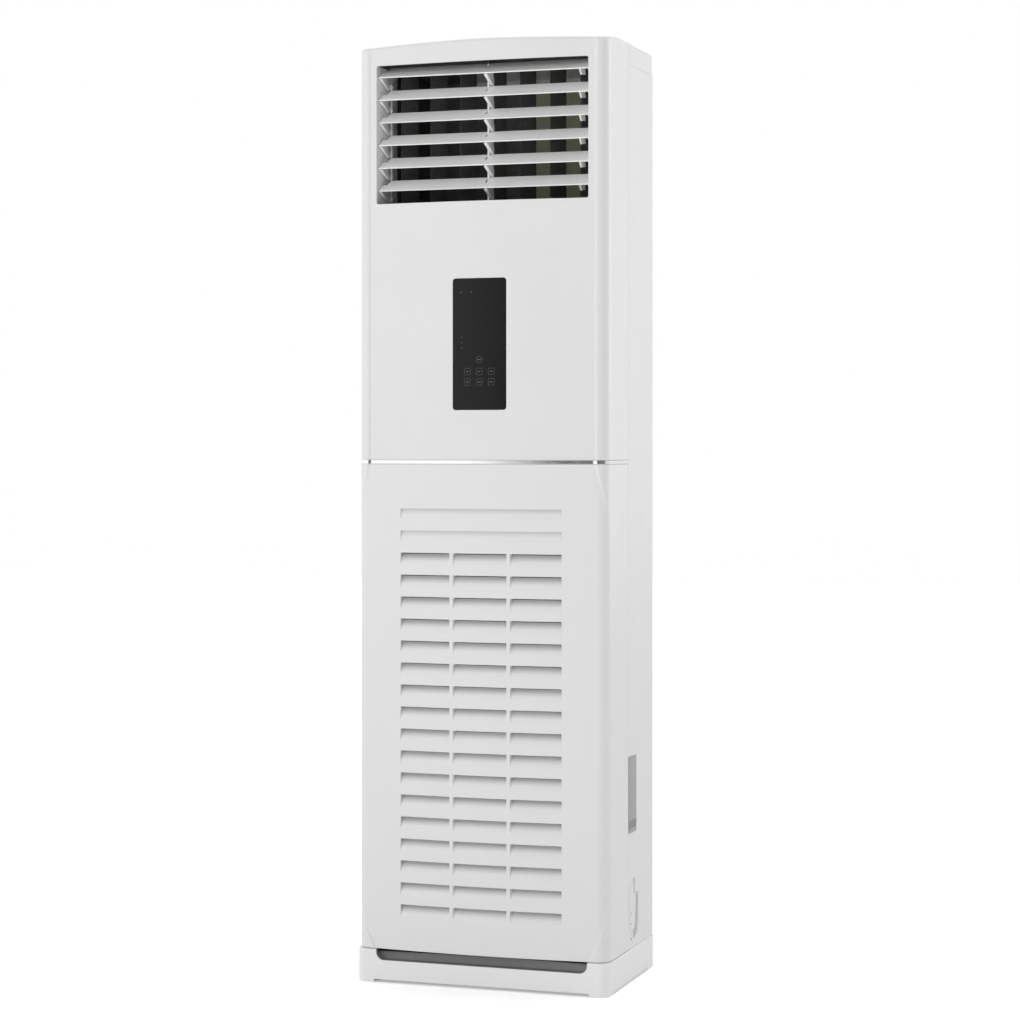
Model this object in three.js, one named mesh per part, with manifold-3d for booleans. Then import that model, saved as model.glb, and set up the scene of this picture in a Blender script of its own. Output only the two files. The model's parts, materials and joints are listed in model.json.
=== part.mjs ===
// A floor standing air conditioner: a tall cabinet with an air outlet behind louvers at the top, a
// display below it and an air intake in the lower front panel.
// Millimetres. X to the right, the front faces -Y, Z up from the floor.
// The origin is at the middle of the footprint, on the floor.

import * as THREE from 'three';
import { mergeVertices } from 'three/addons/utils/BufferGeometryUtils.js';
import Module from 'manifold-3d';

const wasm = await Module();
wasm.setup();

// ---------------------------------------------------------------------------------------------
// Driving dimensions

const HEIGHT = 1766;
const DEPTH = 314;
const BODY_WIDTH = 492;
const BASE_FLARE = 1;               // the base stands out this far on each side

const GAP = 0.3;                    // between neighbouring pieces
const PANEL_WALL = 3;               // moulded panels
const SHEET = 1.2;                  // sheet metal

// Front
const BOW_RADIUS = 2250;            // of the bowed front, seen from above
const PILLAR_RADIUS = 24;           // of the round front corners
const PILLAR_RISE = 2;              // how far the corners stand out from the middle field
const FIELD_MARGIN = 24;            // from the field's edge to the side
const TRIM_PROUD = 0.8;
const TRIM_HEIGHT = 7;
const PANEL_REACH = 145;            // how far the front panels reach round the sides

// Base
const BASE_HEIGHT = 62;
const BASE_FRONT_SETBACK = 5;
const BASE_CORNER_RADIUS = 18;
const BASE_LIFT = 5.5;              // the skirt is this far off the floor between its corner pads
const PAD_LENGTH = 36;
const SLOT_HEIGHT = 20;
const SLOT_DEPTH = 20;
const SLOT_END = 40;                // from the slot's upper end to the side
const SLOT_CORNER_RADIUS = 15;
const FOOT_RADIUS = 16;
const FOOT_INSET = 32;

// Lower front panel
const LOWER_TOP = 974.1;
const LOWER_BOTTOM_GAP = 1;
const GRILLE_HALF_WIDTH = 158;
const GRILLE_TOP = 888;             // height of the uppermost slot line
const SLOT_PITCH = 41.2;
const SLOT_LINES = 19;
const BLIND_LINES = 2;              // the upper lines are closed
const AIR_GAP = 5;
const RAMP_HEIGHT = 20;
const RAMP_DEPTH = 8;
const BLIND_DEPTH = 2;
const DIVIDER_X = 56;
const DIVIDER_WIDTH = 7.5;
const GRILLE_THICKNESS = 11;
const RECESS_DEPTH = 8;
const RECESS_LENGTH = 26;
const RECESS_HEIGHT = 70;
const RECESS_DROP = 164;            // its lower end below the panel's top
const RECESS_SETBACK = 79;          // behind the middle of the front

// Upper front panel
const OUTLET_MARGIN = 38;           // from the opening to the side
const OUTLET_TOP_MARGIN = 43.5;     // below the roof
const DISPLAY_WIDTH = 105;
const DISPLAY_HEIGHT = 244.5;
const DISPLAY_BOTTOM_MARGIN = 93;   // above the trim strip
const DISPLAY_RADIUS = 5.5;
const ROOF_RUN = 99;                // how far back the roof keeps rising
const ROOF_CROWN_DROP = 2;
const ROOF_CORNER_DROP = 13;

// Cabinet sheet metal
const COVER_SKIRT = 41;
const FRAME_SETBACK = 47;           // front edge of the inner frame, behind the middle of the front
const FRAME_FLANGE = 20;
const REAR_FLANGE = 22;
const BACK_RECESS = 2.5;
const CLIP_RADIUS = 4;
const CLIP_INSET = 14;

// Louvers and vanes
const LOUVERS = 6;
const LOUVER_PITCH = 42.7;
const LOUVER_TOP_DROP = 22;         // front edge of the top louver below the outlet's top
const LOUVER_BOTTOM_ROOM = 24;      // below the lowest louver's front edge
const LOUVER_CHORD = 48;
const LOUVER_TILT = 28;             // degrees, front edge low
const LOUVER_THICKNESS = 2;
const LOUVER_SETBACK = 17;          // front edge behind the middle of the front
const PIVOT_BACK = 48;              // pivot from the front edge
const PIVOT_DROP = 14;
const PIN_RADIUS = 2;
const PIN_CLEARANCE = 0.3;
const CRANK_BACK = 10;
const CRANK_RISE = 4;
const CRANK_RADIUS = 1.8;
const VANES = 7;
const VANE_EDGE_ROOM = 29.5;        // from the outer vanes to the outlet's sides
const VANE_CHORD = 52;
const VANE_TURN = 17;               // degrees
const VANE_THICKNESS = 2;
const VANE_PIVOT_BACK = 44;         // behind the louvers' pivots
const OUTLET_FRAME_WALL = 3;
const OUTLET_HEADROOM = 8;          // inside the frame, above the opening
const OUTLET_FRAME_DEPTH = 148;
const MOTOR_RADIUS = 14;
const MOTOR_LENGTH = 16;

// Fan
const FAN_HEIGHT = 330;
const FAN_RADIUS = 150;
const FAN_BLADE_RING = 24;          // depth of the ring of blades
const FAN_WIDTH = 130;
const FAN_BLADES = 22;
const SHAFT_RADIUS = 5;
const HOUSING_FRONT_SETBACK = 94;
const HOUSING_DEPTH = 157;
const SCROLL_START_ROOM = 12;       // round the fan where the scroll starts
const SCROLL_END_ROOM = 55;         // and where it ends
const SCROLL_START_ANGLE = 100;     // degrees
const SHELF_HEIGHT = 602;
const FAN_MOTOR_RADIUS = 68;
const FAN_MOTOR_LENGTH = 42;

// Coil space
const COVER_SETBACK = 88;
const CHAMBER_DROP = 23;            // the coil space ends this far below the outlet
const COIL_LIFT = 47.3;             // its lower end above the drain pan's underside
const COIL_TOP_ROOM = 27.6;         // its upper end below the top of the coil space
const COIL_DEPTH = 40;
const COIL_HALF_WIDTH = 203;
const COIL_LEAN = 11.8;             // degrees, top to the back
const COIL_SETBACK = 107;           // its middle behind the cover
const PAN_BOTTOM = 690;
const PAN_DEPTH = 71;
const PAN_WALL_HEIGHT = 35;
const PAN_WALL = 2;
const SUCTION_RADIUS = 8;
const LIQUID_RADIUS = 5;
const HOSE_RADIUS = 9;

// Electrical box
const BOX_HALF_WIDTH = 150;
const BOX_BOTTOM = 640;
const BOX_HEIGHT = 290;
const BOX_DEPTH = 55;

// ---------------------------------------------------------------------------------------------
// Places worked out from the driving dimensions

const FRONT_Y = -DEPTH / 2;
const BACK_Y = DEPTH / 2;
const FACE_Y = FRONT_Y + TRIM_PROUD;             // middle of the bowed front panels
const HALF_BODY = BODY_WIDTH / 2;
const HALF_BASE = HALF_BODY + BASE_FLARE;
const PANEL_BACK_Y = FRONT_Y + PANEL_REACH;
const LOWER_BOTTOM = BASE_HEIGHT + LOWER_BOTTOM_GAP;
const TRIM_BOTTOM = LOWER_TOP + GAP;
const UPPER_BOTTOM = TRIM_BOTTOM + TRIM_HEIGHT + GAP;
const INNER_WALL_X = HALF_BODY - PANEL_WALL - GAP - SHEET;      // inner face of the inner frame
const FRAME_Y = FRONT_Y + FRAME_SETBACK;
const COVER_BOTTOM = HEIGHT - COVER_SKIRT;
const OUTLET_TOP = HEIGHT - OUTLET_TOP_MARGIN;
const OUTLET_HEIGHT = LOUVER_TOP_DROP + (LOUVERS - 1) * LOUVER_PITCH + LOUVER_BOTTOM_ROOM;
const OUTLET_BOTTOM = OUTLET_TOP - OUTLET_HEIGHT;
const CHAMBER_TOP = OUTLET_BOTTOM - CHAMBER_DROP;
const OUTLET_CEILING = OUTLET_TOP + OUTLET_HEADROOM;
const DISPLAY_BOTTOM = UPPER_BOTTOM + DISPLAY_BOTTOM_MARGIN;
const FIELD_HALF_WIDTH = HALF_BODY - FIELD_MARGIN;
const OUTLET_HALF_WIDTH = HALF_BODY - OUTLET_MARGIN;
const VANE_PITCH = 2 * (OUTLET_HALF_WIDTH - VANE_EDGE_ROOM) / (VANES - 1);
const CLIP_X = HALF_BODY - CLIP_INSET;
const RECESS_BOTTOM = LOWER_TOP - RECESS_DROP;
const LOUVER_PIVOT_Y = FRONT_Y + LOUVER_SETBACK + PIVOT_BACK;
const VANE_PIVOT_Y = LOUVER_PIVOT_Y + VANE_PIVOT_BACK;
const OUTLET_FRAME_BACK = FRONT_Y + OUTLET_FRAME_DEPTH;
const HOUSING_FRONT = FRONT_Y + HOUSING_FRONT_SETBACK;
const HOUSING_BACK = HOUSING_FRONT + HOUSING_DEPTH;
const FAN_EYE_RADIUS = FAN_RADIUS - FAN_BLADE_RING;
const SCROLL_START_RADIUS = FAN_RADIUS + SCROLL_START_ROOM;
const SCROLL_END_RADIUS = FAN_RADIUS + SCROLL_END_ROOM;
const COVER_Y = FRONT_Y + COVER_SETBACK;
const COIL_CENTRE_Y = COVER_Y + COIL_SETBACK;
const COIL_TOP = CHAMBER_TOP - COIL_TOP_ROOM;
const COIL_BOTTOM = PAN_BOTTOM + COIL_LIFT;
const COIL_CENTRE_Z = (COIL_TOP + COIL_BOTTOM) / 2;
const COIL_LENGTH = (COIL_TOP - COIL_BOTTOM) / Math.cos(COIL_LEAN * Math.PI / 180);
const SPREAD_X = INNER_WALL_X - GAP;             // half width of what fits between the side panels
const BACK_PANEL_Y = BACK_Y - BACK_RECESS;       // outer face of the back panel

// ---------------------------------------------------------------------------------------------
// Materials

function material(color, roughness, metalness = 0) {
  return new THREE.MeshStandardMaterial({ color, roughness, metalness });
}

const WHITE = material(0xe6e6e4, 0.35);
const BASE_WHITE = material(0xdcdcda, 0.4);
const PAINTED = material(0xe2e2e0, 0.4, 0.1);
const CHROME = material(0xd8d8da, 0.1, 1);
const BLACK_GLASS = material(0x050506, 0.05);
const LOUVER_WHITE = material(0xd6d7d8, 0.4);
const BLACK_PLASTIC = material(0x1b1b1c, 0.5);
const GREY_PLASTIC = material(0x55575a, 0.55);
const GALVANISED = material(0xa6a9ab, 0.4, 0.9);
const STEEL = material(0x8f9294, 0.3, 1);
const ALUMINIUM = material(0xc4c7c9, 0.35, 0.9);
const COPPER = material(0xb8714a, 0.3, 1);
const FOAM = material(0xf0efea, 0.9);
const RUBBER = material(0x1f1f20, 0.8);
const BOARD_GREEN = material(0x1f5a3a, 0.5);
const MESH_GREY = material(0x46494c, 0.7);
const PLATE_GREY = material(0x9da0a2, 0.45, 0.2);
const HOSE_GREY = material(0xb9bbbd, 0.6);

// ---------------------------------------------------------------------------------------------
// Solids

const CURVE_STEPS = 4;
const PIN_SIDES = 8;
const ROD_SIDES = 12;
const DEGREE = Math.PI / 180;

// A closed geometry with its corners merged, as a solid that can be joined and cut.
function solid(geometry) {
  geometry.deleteAttribute('normal');
  geometry.deleteAttribute('uv');
  const merged = mergeVertices(geometry, 1e-3);
  const index = merged.index.array;
  const triangles = [];
  for (let i = 0; i < index.length; i += 3) {
    const [a, b, c] = [index[i], index[i + 1], index[i + 2]];
    if (a !== b && b !== c && c !== a) triangles.push(a, b, c);
  }
  return new wasm.Manifold(new wasm.Mesh({
    numProp: 3,
    vertProperties: new Float32Array(merged.attributes.position.array),
    triVerts: new Uint32Array(triangles),
  }));
}

// Has the result worked out at once, before the next step builds on it.
function settled(result) {
  result.numTri();
  return result;
}

function join(first, ...others) {
  return others.reduce((whole, other) => settled(whole.add(other)), first);
}

function cut(first, ...tools) {
  return tools.reduce((rest, tool) => settled(rest.subtract(tool)), first);
}

// A right hand piece as it is, or its left hand twin.
function mirrored(piece, side) {
  return side > 0 ? piece : piece.mirror([1, 0, 0]);
}

function block(x0, x1, y0, y1, z0, z1) {
  const geometry = new THREE.BoxGeometry(x1 - x0, y1 - y0, z1 - z0);
  return solid(geometry.translate((x0 + x1) / 2, (y0 + y1) / 2, (z0 + z1) / 2));
}

function rodX(radius, x0, x1, y, z, sides = PIN_SIDES) {
  const geometry = new THREE.CylinderGeometry(radius, radius, x1 - x0, sides);
  return solid(geometry.rotateZ(-Math.PI / 2).translate((x0 + x1) / 2, y, z));
}

function rodY(radius, y0, y1, x, z, sides = ROD_SIDES) {
  const geometry = new THREE.CylinderGeometry(radius, radius, y1 - y0, sides);
  return solid(geometry.translate(x, (y0 + y1) / 2, z));
}

function rodZ(radius, z0, z1, x, y, sides = ROD_SIDES) {
  const geometry = new THREE.CylinderGeometry(radius, radius, z1 - z0, sides);
  return solid(geometry.rotateX(Math.PI / 2).translate(x, y, (z0 + z1) / 2));
}

function extrusion(outline, depth, steps = 1) {
  const options = { depth, steps, bevelEnabled: false, curveSegments: CURVE_STEPS };
  return new THREE.ExtrudeGeometry(outline, options);
}

// An outline of Y and Z, drawn out along X.
function extrudeX(outline, x0, x1, steps = 1) {
  const turn = new THREE.Matrix4().makeBasis(
    new THREE.Vector3(0, 1, 0), new THREE.Vector3(0, 0, 1), new THREE.Vector3(1, 0, 0));
  return extrusion(outline, x1 - x0, steps).applyMatrix4(turn).translate(x0, 0, 0);
}

// An outline of X and Z, drawn out along Y.
function extrudeY(outline, y0, y1) {
  return solid(extrusion(outline, y1 - y0).rotateX(Math.PI / 2).translate(0, y1, 0));
}

// An outline of X and Y, drawn out along Z.
function extrudeZ(outline, z0, z1) {
  return solid(extrusion(outline, z1 - z0).translate(0, 0, z0));
}

function polygon(...points) {
  return new THREE.Shape(points.map(([x, y]) => new THREE.Vector2(x, y)));
}

function roundedRectangle(x0, x1, y0, y1, radius) {
  const shape = new THREE.Shape();
  shape.absarc(x1 - radius, y0 + radius, radius, -Math.PI / 2, 0);
  shape.absarc(x1 - radius, y1 - radius, radius, 0, Math.PI / 2);
  shape.absarc(x0 + radius, y1 - radius, radius, Math.PI / 2, Math.PI);
  shape.absarc(x0 + radius, y0 + radius, radius, Math.PI, 1.5 * Math.PI);
  return shape;
}

// A round tube or hose along a smooth line through the points.
function tubeAlong(points, radius, steps) {
  const path = new THREE.CatmullRomCurve3(points.map((point) => new THREE.Vector3(...point)),
    false, 'catmullrom', 0.15);
  const section = new THREE.Shape();
  const sides = 8;
  for (let i = 0; i < sides; i += 1) {
    const angle = (i / sides) * 2 * Math.PI;
    const [x, y] = [radius * Math.cos(angle), radius * Math.sin(angle)];
    if (i === 0) section.moveTo(x, y);
    else section.lineTo(x, y);
  }
  return solid(new THREE.ExtrudeGeometry(section, { steps, extrudePath: path, bevelEnabled: false }));
}

// ---------------------------------------------------------------------------------------------
// The bowed front

// How far the front lies behind its own middle.
function bow(x) {
  return BOW_RADIUS - Math.sqrt(BOW_RADIUS ** 2 - x ** 2);
}

// Seen from above: a bowed front, round corners and straight sides that end at the height `back`.
function planOutline(inset, setback, back) {
  const cornerX = HALF_BODY - PILLAR_RADIUS;
  const bowCentre = FACE_Y + setback + BOW_RADIUS;
  const reach = BOW_RADIUS - PILLAR_RADIUS;
  const lean = Math.asin(cornerX / reach);
  const cornerY = bowCentre - reach * Math.cos(lean);
  const shape = new THREE.Shape();
  shape.absarc(-cornerX, cornerY, PILLAR_RADIUS - inset, Math.PI, 1.5 * Math.PI - lean);
  shape.absarc(0, bowCentre, BOW_RADIUS - inset, 1.5 * Math.PI - lean, 1.5 * Math.PI + lean);
  shape.absarc(cornerX, cornerY, PILLAR_RADIUS - inset, 1.5 * Math.PI + lean, 2 * Math.PI);
  shape.lineTo(HALF_BODY - inset, back);
  shape.lineTo(-HALF_BODY + inset, back);
  return shape;
}

function frontSolid(inset, setback, z0, z1, back = PANEL_BACK_Y) {
  return extrudeZ(planOutline(inset, setback, back), z0, z1);
}

// A block that wraps round the front, whose corners stand out round a middle field of the given
// outline. It is larger than the bowed front by the margin.
function frontShell(fieldOutline, z0, z1, margin = 0) {
  const field = extrudeY(fieldOutline, FRONT_Y - 10, FRAME_Y);
  const corners = frontSolid(-margin, -PILLAR_RISE, z0, z1).subtract(field);
  return frontSolid(-margin, 0, z0, z1).add(corners);
}

function frontHollow(z0, z1) {
  return frontSolid(PANEL_WALL, 0, z0, z1, PANEL_BACK_Y + 10);
}

// The pegs with which a front panel clips to the inner frame.
function clipPegs(heights) {
  const pegs = [];
  for (const z of heights) {
    for (const x of [-CLIP_X, CLIP_X]) {
      pegs.push(rodY(CLIP_RADIUS, FACE_Y + bow(CLIP_X) + PANEL_WALL - 1, FRAME_Y + 6, x, z));
    }
  }
  return pegs;
}

const LOWER_CLIPS = [LOWER_BOTTOM + 75, LOWER_TOP - 54];
const UPPER_CLIPS = [UPPER_BOTTOM + 38, OUTLET_BOTTOM - 63];

// The height of the roof: flat behind, falling towards the front and most at its corners.
function roofHeight(x, y) {
  const run = THREE.MathUtils.clamp((FACE_Y + ROOF_RUN - y) / ROOF_RUN, 0, 1);
  const across = Math.min(Math.abs(x) / HALF_BODY, 1);
  const drop = ROOF_CROWN_DROP + (ROOF_CORNER_DROP - ROOF_CROWN_DROP) * across ** 1.8;
  return HEIGHT - drop * run ** 1.6;
}

// Everything between z0 and the roof, less an inset.
function underRoof(z0, inset) {
  const [width, depth] = [BODY_WIDTH + 4, PANEL_REACH + 30];
  const geometry = new THREE.BoxGeometry(width, depth, 1, 12, 7, 1);
  geometry.translate(0, FRONT_Y - 5 + depth / 2, 0);
  const position = geometry.attributes.position;
  for (let i = 0; i < position.count; i += 1) {
    const top = roofHeight(position.getX(i), position.getY(i)) - inset;
    position.setZ(i, position.getZ(i) > 0 ? top : z0);
  }
  return solid(geometry);
}

// ---------------------------------------------------------------------------------------------
// Base

function baseOutline(inset) {
  const half = HALF_BASE - inset;
  const front = FRONT_Y + BASE_FRONT_SETBACK + inset;
  const back = BACK_Y - inset;
  const radius = BASE_CORNER_RADIUS - inset;
  const shape = new THREE.Shape();
  shape.absarc(-half + radius, front + radius, radius, Math.PI, 1.5 * Math.PI);
  shape.absarc(half - radius, front + radius, radius, 1.5 * Math.PI, 2 * Math.PI);
  shape.lineTo(half, back);
  shape.lineTo(-half, back);
  return shape;
}

function feetPlaces() {
  const x = HALF_BASE - FOOT_INSET;
  const [front, back] = [FRONT_Y + BASE_FRONT_SETBACK + FOOT_INSET, BACK_Y - FOOT_INSET];
  return [
    ['front_left', -x, front], ['front_right', x, front],
    ['rear_left', -x, back], ['rear_right', x, back]];
}

function basePlinth() {
  const deck = BASE_HEIGHT - PANEL_WALL;
  const front = FRONT_Y + BASE_FRONT_SETBACK;
  let base = extrudeZ(baseOutline(0), 0, BASE_HEIGHT);
  base = cut(base, extrudeZ(baseOutline(PANEL_WALL), -1, deck));
  const slotBottom = BASE_HEIGHT - SLOT_HEIGHT;
  const slotHalf = HALF_BASE - SLOT_END;
  const radius = SLOT_CORNER_RADIUS;
  const slotCase = block(-slotHalf - 4, slotHalf + 4,
    front + 1, front + SLOT_DEPTH + PANEL_WALL, slotBottom - PANEL_WALL, BASE_HEIGHT);
  const slot = new THREE.Shape();
  slot.moveTo(-slotHalf, BASE_HEIGHT + 1);
  slot.lineTo(-slotHalf, slotBottom + radius);
  slot.absarc(-slotHalf + radius, slotBottom + radius, radius, Math.PI, 1.5 * Math.PI);
  slot.absarc(slotHalf - radius, slotBottom + radius, radius, 1.5 * Math.PI, 2 * Math.PI);
  slot.lineTo(slotHalf, BASE_HEIGHT + 1);
  base = cut(join(base, slotCase), extrudeY(slot, front - 5, front + SLOT_DEPTH));
  const wide = HALF_BASE + 1;
  base = cut(base,
    block(-HALF_BASE + PAD_LENGTH, HALF_BASE - PAD_LENGTH, FRONT_Y - 1, BACK_Y + 1, -1, BASE_LIFT),
    block(-wide, wide, front + PAD_LENGTH, BACK_Y - PAD_LENGTH, -1, BASE_LIFT));
  for (const [, x, y] of feetPlaces()) {
    const boss = rodZ(SHAFT_RADIUS + 5, BASE_LIFT + 24, deck + 1, x, y);
    base = cut(join(base, boss), rodZ(SHAFT_RADIUS + GAP, 0, deck, x, y));
  }
  return base;
}

function levellingFoot(x, y) {
  const deck = BASE_HEIGHT - PANEL_WALL;
  return join(rodZ(FOOT_RADIUS - 3, 0, BASE_LIFT + 0.5, x, y, 24), rodZ(SHAFT_RADIUS, 1, deck - GAP, x, y));
}

// ---------------------------------------------------------------------------------------------
// Lower front panel

function lowerFieldOutline() {
  const [bottom, top] = [LOWER_BOTTOM - 1, LOWER_TOP + 1];
  const wide = HALF_BODY - 3;
  const low = FIELD_HALF_WIDTH - 12;
  const shape = new THREE.Shape();
  shape.moveTo(-low, bottom);
  shape.lineTo(low, bottom);
  shape.quadraticCurveTo(wide - 4, bottom + 55, wide, bottom + 110);
  shape.lineTo(wide, top - 92);
  shape.quadraticCurveTo(wide - 10, top - 40, FIELD_HALF_WIDTH, top);
  shape.lineTo(-FIELD_HALF_WIDTH, top);
  shape.quadraticCurveTo(-wide + 10, top - 40, -wide, top - 92);
  shape.lineTo(-wide, bottom + 110);
  shape.quadraticCurveTo(-wide + 4, bottom + 55, -low, bottom);
  return shape;
}

// A bar of the given section across one column of the grille, bent to follow the bowed front.
function bentBar(outline, x0, x1, steps) {
  const geometry = extrudeX(outline, x0, x1, steps);
  const position = geometry.attributes.position;
  for (let i = 0; i < position.count; i += 1) {
    position.setY(i, position.getY(i) + bow(position.getX(i)));
  }
  return solid(geometry);
}

// One slot line: a groove with a ramp below it that runs out to the face.
function slotOutline(z, depth) {
  const half = AIR_GAP / 2;
  return polygon(
    [FACE_Y - 2, z + half], [FACE_Y - 2, z - half - RAMP_HEIGHT - 5], [FACE_Y, z - half - RAMP_HEIGHT],
    [FACE_Y + depth, z - half], [FACE_Y + depth, z + half]);
}

// The air gap at the back of a slot line.
function airGapOutline(z) {
  const half = AIR_GAP / 2;
  const [front, back] = [FACE_Y + RAMP_DEPTH - 1, FACE_Y + GRILLE_THICKNESS + 2];
  return polygon([front, z - half], [back, z - half], [back, z + half], [front, z + half]);
}

function slotTools() {
  const tools = [];
  const edge = DIVIDER_WIDTH / 2;
  const columns = [
    [-GRILLE_HALF_WIDTH, -DIVIDER_X - edge], [-DIVIDER_X + edge, DIVIDER_X - edge],
    [DIVIDER_X + edge, GRILLE_HALF_WIDTH]];
  for (let line = 0; line < SLOT_LINES; line += 1) {
    const z = GRILLE_TOP - line * SLOT_PITCH;
    const blind = line < BLIND_LINES;
    const ramp = slotOutline(z, blind ? BLIND_DEPTH : RAMP_DEPTH);
    tools.push(bentBar(ramp, -GRILLE_HALF_WIDTH, GRILLE_HALF_WIDTH, 4));
    if (blind) continue;
    for (const [x0, x1] of columns) tools.push(bentBar(airGapOutline(z), x0, x1, 1));
  }
  return tools;
}

function lowerFrontPanel() {
  const shell = frontShell(lowerFieldOutline(), LOWER_BOTTOM, LOWER_TOP);
  let panel = cut(shell, frontHollow(LOWER_BOTTOM - 1, LOWER_TOP + 1));
  const lowest = GRILLE_TOP - (SLOT_LINES - 1) * SLOT_PITCH - RAMP_HEIGHT - 12;
  const backing = polygon([FACE_Y + 1, lowest], [FACE_Y + GRILLE_THICKNESS, lowest],
    [FACE_Y + GRILLE_THICKNESS, GRILLE_TOP + 12], [FACE_Y + 1, GRILLE_TOP + 12]);
  const grilleEdge = GRILLE_HALF_WIDTH + 8;
  panel = join(panel, bentBar(backing, -grilleEdge, grilleEdge, 5));
  panel = cut(panel, ...slotTools());
  const recessY = FRONT_Y + RECESS_SETBACK;
  for (const side of [-1, 1]) {
    const inner = HALF_BODY - RECESS_DEPTH;
    const cup = block(inner - 2, HALF_BODY - 1, recessY - 2, recessY + RECESS_LENGTH + 2,
      RECESS_BOTTOM - 2, RECESS_BOTTOM + RECESS_HEIGHT + 2);
    const pocket = block(inner, HALF_BODY + 5, recessY, recessY + RECESS_LENGTH,
      RECESS_BOTTOM, RECESS_BOTTOM + RECESS_HEIGHT);
    panel = cut(join(panel, mirrored(cup, side)), mirrored(pocket, side));
  }
  return join(panel, ...clipPegs(LOWER_CLIPS));
}

// The filter: a frame with ribs and a thin mesh, held behind the slots.
function airFilter() {
  const half = GRILLE_HALF_WIDTH + 7;
  const front = FACE_Y + GRILLE_THICKNESS + bow(half) + 0.4;
  const [thick, rim] = [5, 8];
  const bottom = GRILLE_TOP - (SLOT_LINES - 1) * SLOT_PITCH - 30;
  const top = GRILLE_TOP - BLIND_LINES * SLOT_PITCH + 20;
  let filter = block(-half, half, front, front + thick, bottom, top);
  const [columns, rows] = [3, 6];
  const width = (2 * half - rim) / columns;
  const height = (top - bottom - rim) / rows;
  for (let column = 0; column < columns; column += 1) {
    for (let row = 0; row < rows; row += 1) {
      const x = -half + rim + column * width;
      const z = bottom + rim + row * height;
      filter = cut(filter, block(x, x + width - rim, front + 0.8, front + thick + 1, z, z + height - rim));
    }
  }
  return filter;
}

// ---------------------------------------------------------------------------------------------
// Trim strip and upper front panel

// The outline of the upper panel's middle field.
function upperFieldOutline(bottom) {
  return polygon([-FIELD_HALF_WIDTH, bottom], [FIELD_HALF_WIDTH, bottom],
    [FIELD_HALF_WIDTH, HEIGHT + 1], [-FIELD_HALF_WIDTH, HEIGHT + 1]);
}

function trimStrip() {
  const field = upperFieldOutline(TRIM_BOTTOM - 1);
  const outer = frontShell(field, TRIM_BOTTOM, TRIM_BOTTOM + TRIM_HEIGHT, TRIM_PROUD);
  return cut(outer, frontHollow(TRIM_BOTTOM - 1, TRIM_BOTTOM + TRIM_HEIGHT + 1));
}

function displayOutline(clearance) {
  const half = DISPLAY_WIDTH / 2 + clearance;
  return roundedRectangle(-half, half, DISPLAY_BOTTOM - clearance,
    DISPLAY_BOTTOM + DISPLAY_HEIGHT + clearance, DISPLAY_RADIUS + clearance);
}

function upperFrontPanel() {
  const field = upperFieldOutline(UPPER_BOTTOM - 1);
  const outer = frontShell(field, UPPER_BOTTOM, HEIGHT + 2).intersect(underRoof(UPPER_BOTTOM - 1, 0));
  const inner = frontHollow(UPPER_BOTTOM - 1, HEIGHT + 2).intersect(underRoof(UPPER_BOTTOM - 2, PANEL_WALL));
  const outlet = block(-OUTLET_HALF_WIDTH, OUTLET_HALF_WIDTH,
    FRONT_Y - 10, FRAME_Y, OUTLET_BOTTOM, OUTLET_TOP);
  const panel = cut(outer, inner, outlet, extrudeY(displayOutline(GAP), FRONT_Y - 10, FRAME_Y));
  return join(panel, ...clipPegs(UPPER_CLIPS));
}

const WINDOW_FLANGE = 6;
const WINDOW_BACK = FACE_Y + PANEL_WALL + 7;
const BOARD_POST = 10;
const BOARD_THICKNESS = 1.6;

function displayPosts() {
  const places = [];
  for (const x of [-DISPLAY_WIDTH / 2 + 10, DISPLAY_WIDTH / 2 - 10]) {
    for (const z of [DISPLAY_BOTTOM + 14, DISPLAY_BOTTOM + DISPLAY_HEIGHT - 14]) places.push([x, z]);
  }
  return places;
}

function displayWindow() {
  const plug = frontSolid(0, 0, DISPLAY_BOTTOM - 5, DISPLAY_BOTTOM + DISPLAY_HEIGHT + 5)
    .intersect(extrudeY(displayOutline(0), FRONT_Y - 5, WINDOW_BACK));
  const innerFace = frontHollow(DISPLAY_BOTTOM - 20, DISPLAY_BOTTOM + DISPLAY_HEIGHT + 20);
  const seat = FACE_Y + PANEL_WALL + GAP + bow(DISPLAY_WIDTH / 2 + WINDOW_FLANGE);
  const flange = extrudeY(displayOutline(WINDOW_FLANGE), seat, WINDOW_BACK);
  let window = join(plug, flange.intersect(innerFace));
  for (const [x, z] of displayPosts()) {
    window = join(window, rodY(3, WINDOW_BACK - 1, WINDOW_BACK + BOARD_POST, x, z, PIN_SIDES));
  }
  return window;
}

function displayBoard() {
  const front = WINDOW_BACK + BOARD_POST + GAP;
  const half = DISPLAY_WIDTH / 2 - 4;
  const top = DISPLAY_BOTTOM + DISPLAY_HEIGHT;
  const board = block(-half, half, front, front + BOARD_THICKNESS, DISPLAY_BOTTOM + 6, top - 6);
  const chip = block(-12, 12, front + 1, front + 4, DISPLAY_BOTTOM + 40, DISPLAY_BOTTOM + 64);
  const socket = block(-25, 5, front + 1, front + 9, DISPLAY_BOTTOM + 90, DISPLAY_BOTTOM + 98);
  const shield = block(-30, 30, front - 5, front + 1, DISPLAY_BOTTOM + 120, DISPLAY_BOTTOM + 210);
  return join(board, chip, socket, shield);
}

// ---------------------------------------------------------------------------------------------
// Cabinet

const PIPE_COVER_Y = [PANEL_BACK_Y + 7, PANEL_BACK_Y + 87];
const PIPE_COVER_Z = [79, 192];
const PIPE_COVER_RADIUS = 38;

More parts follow.
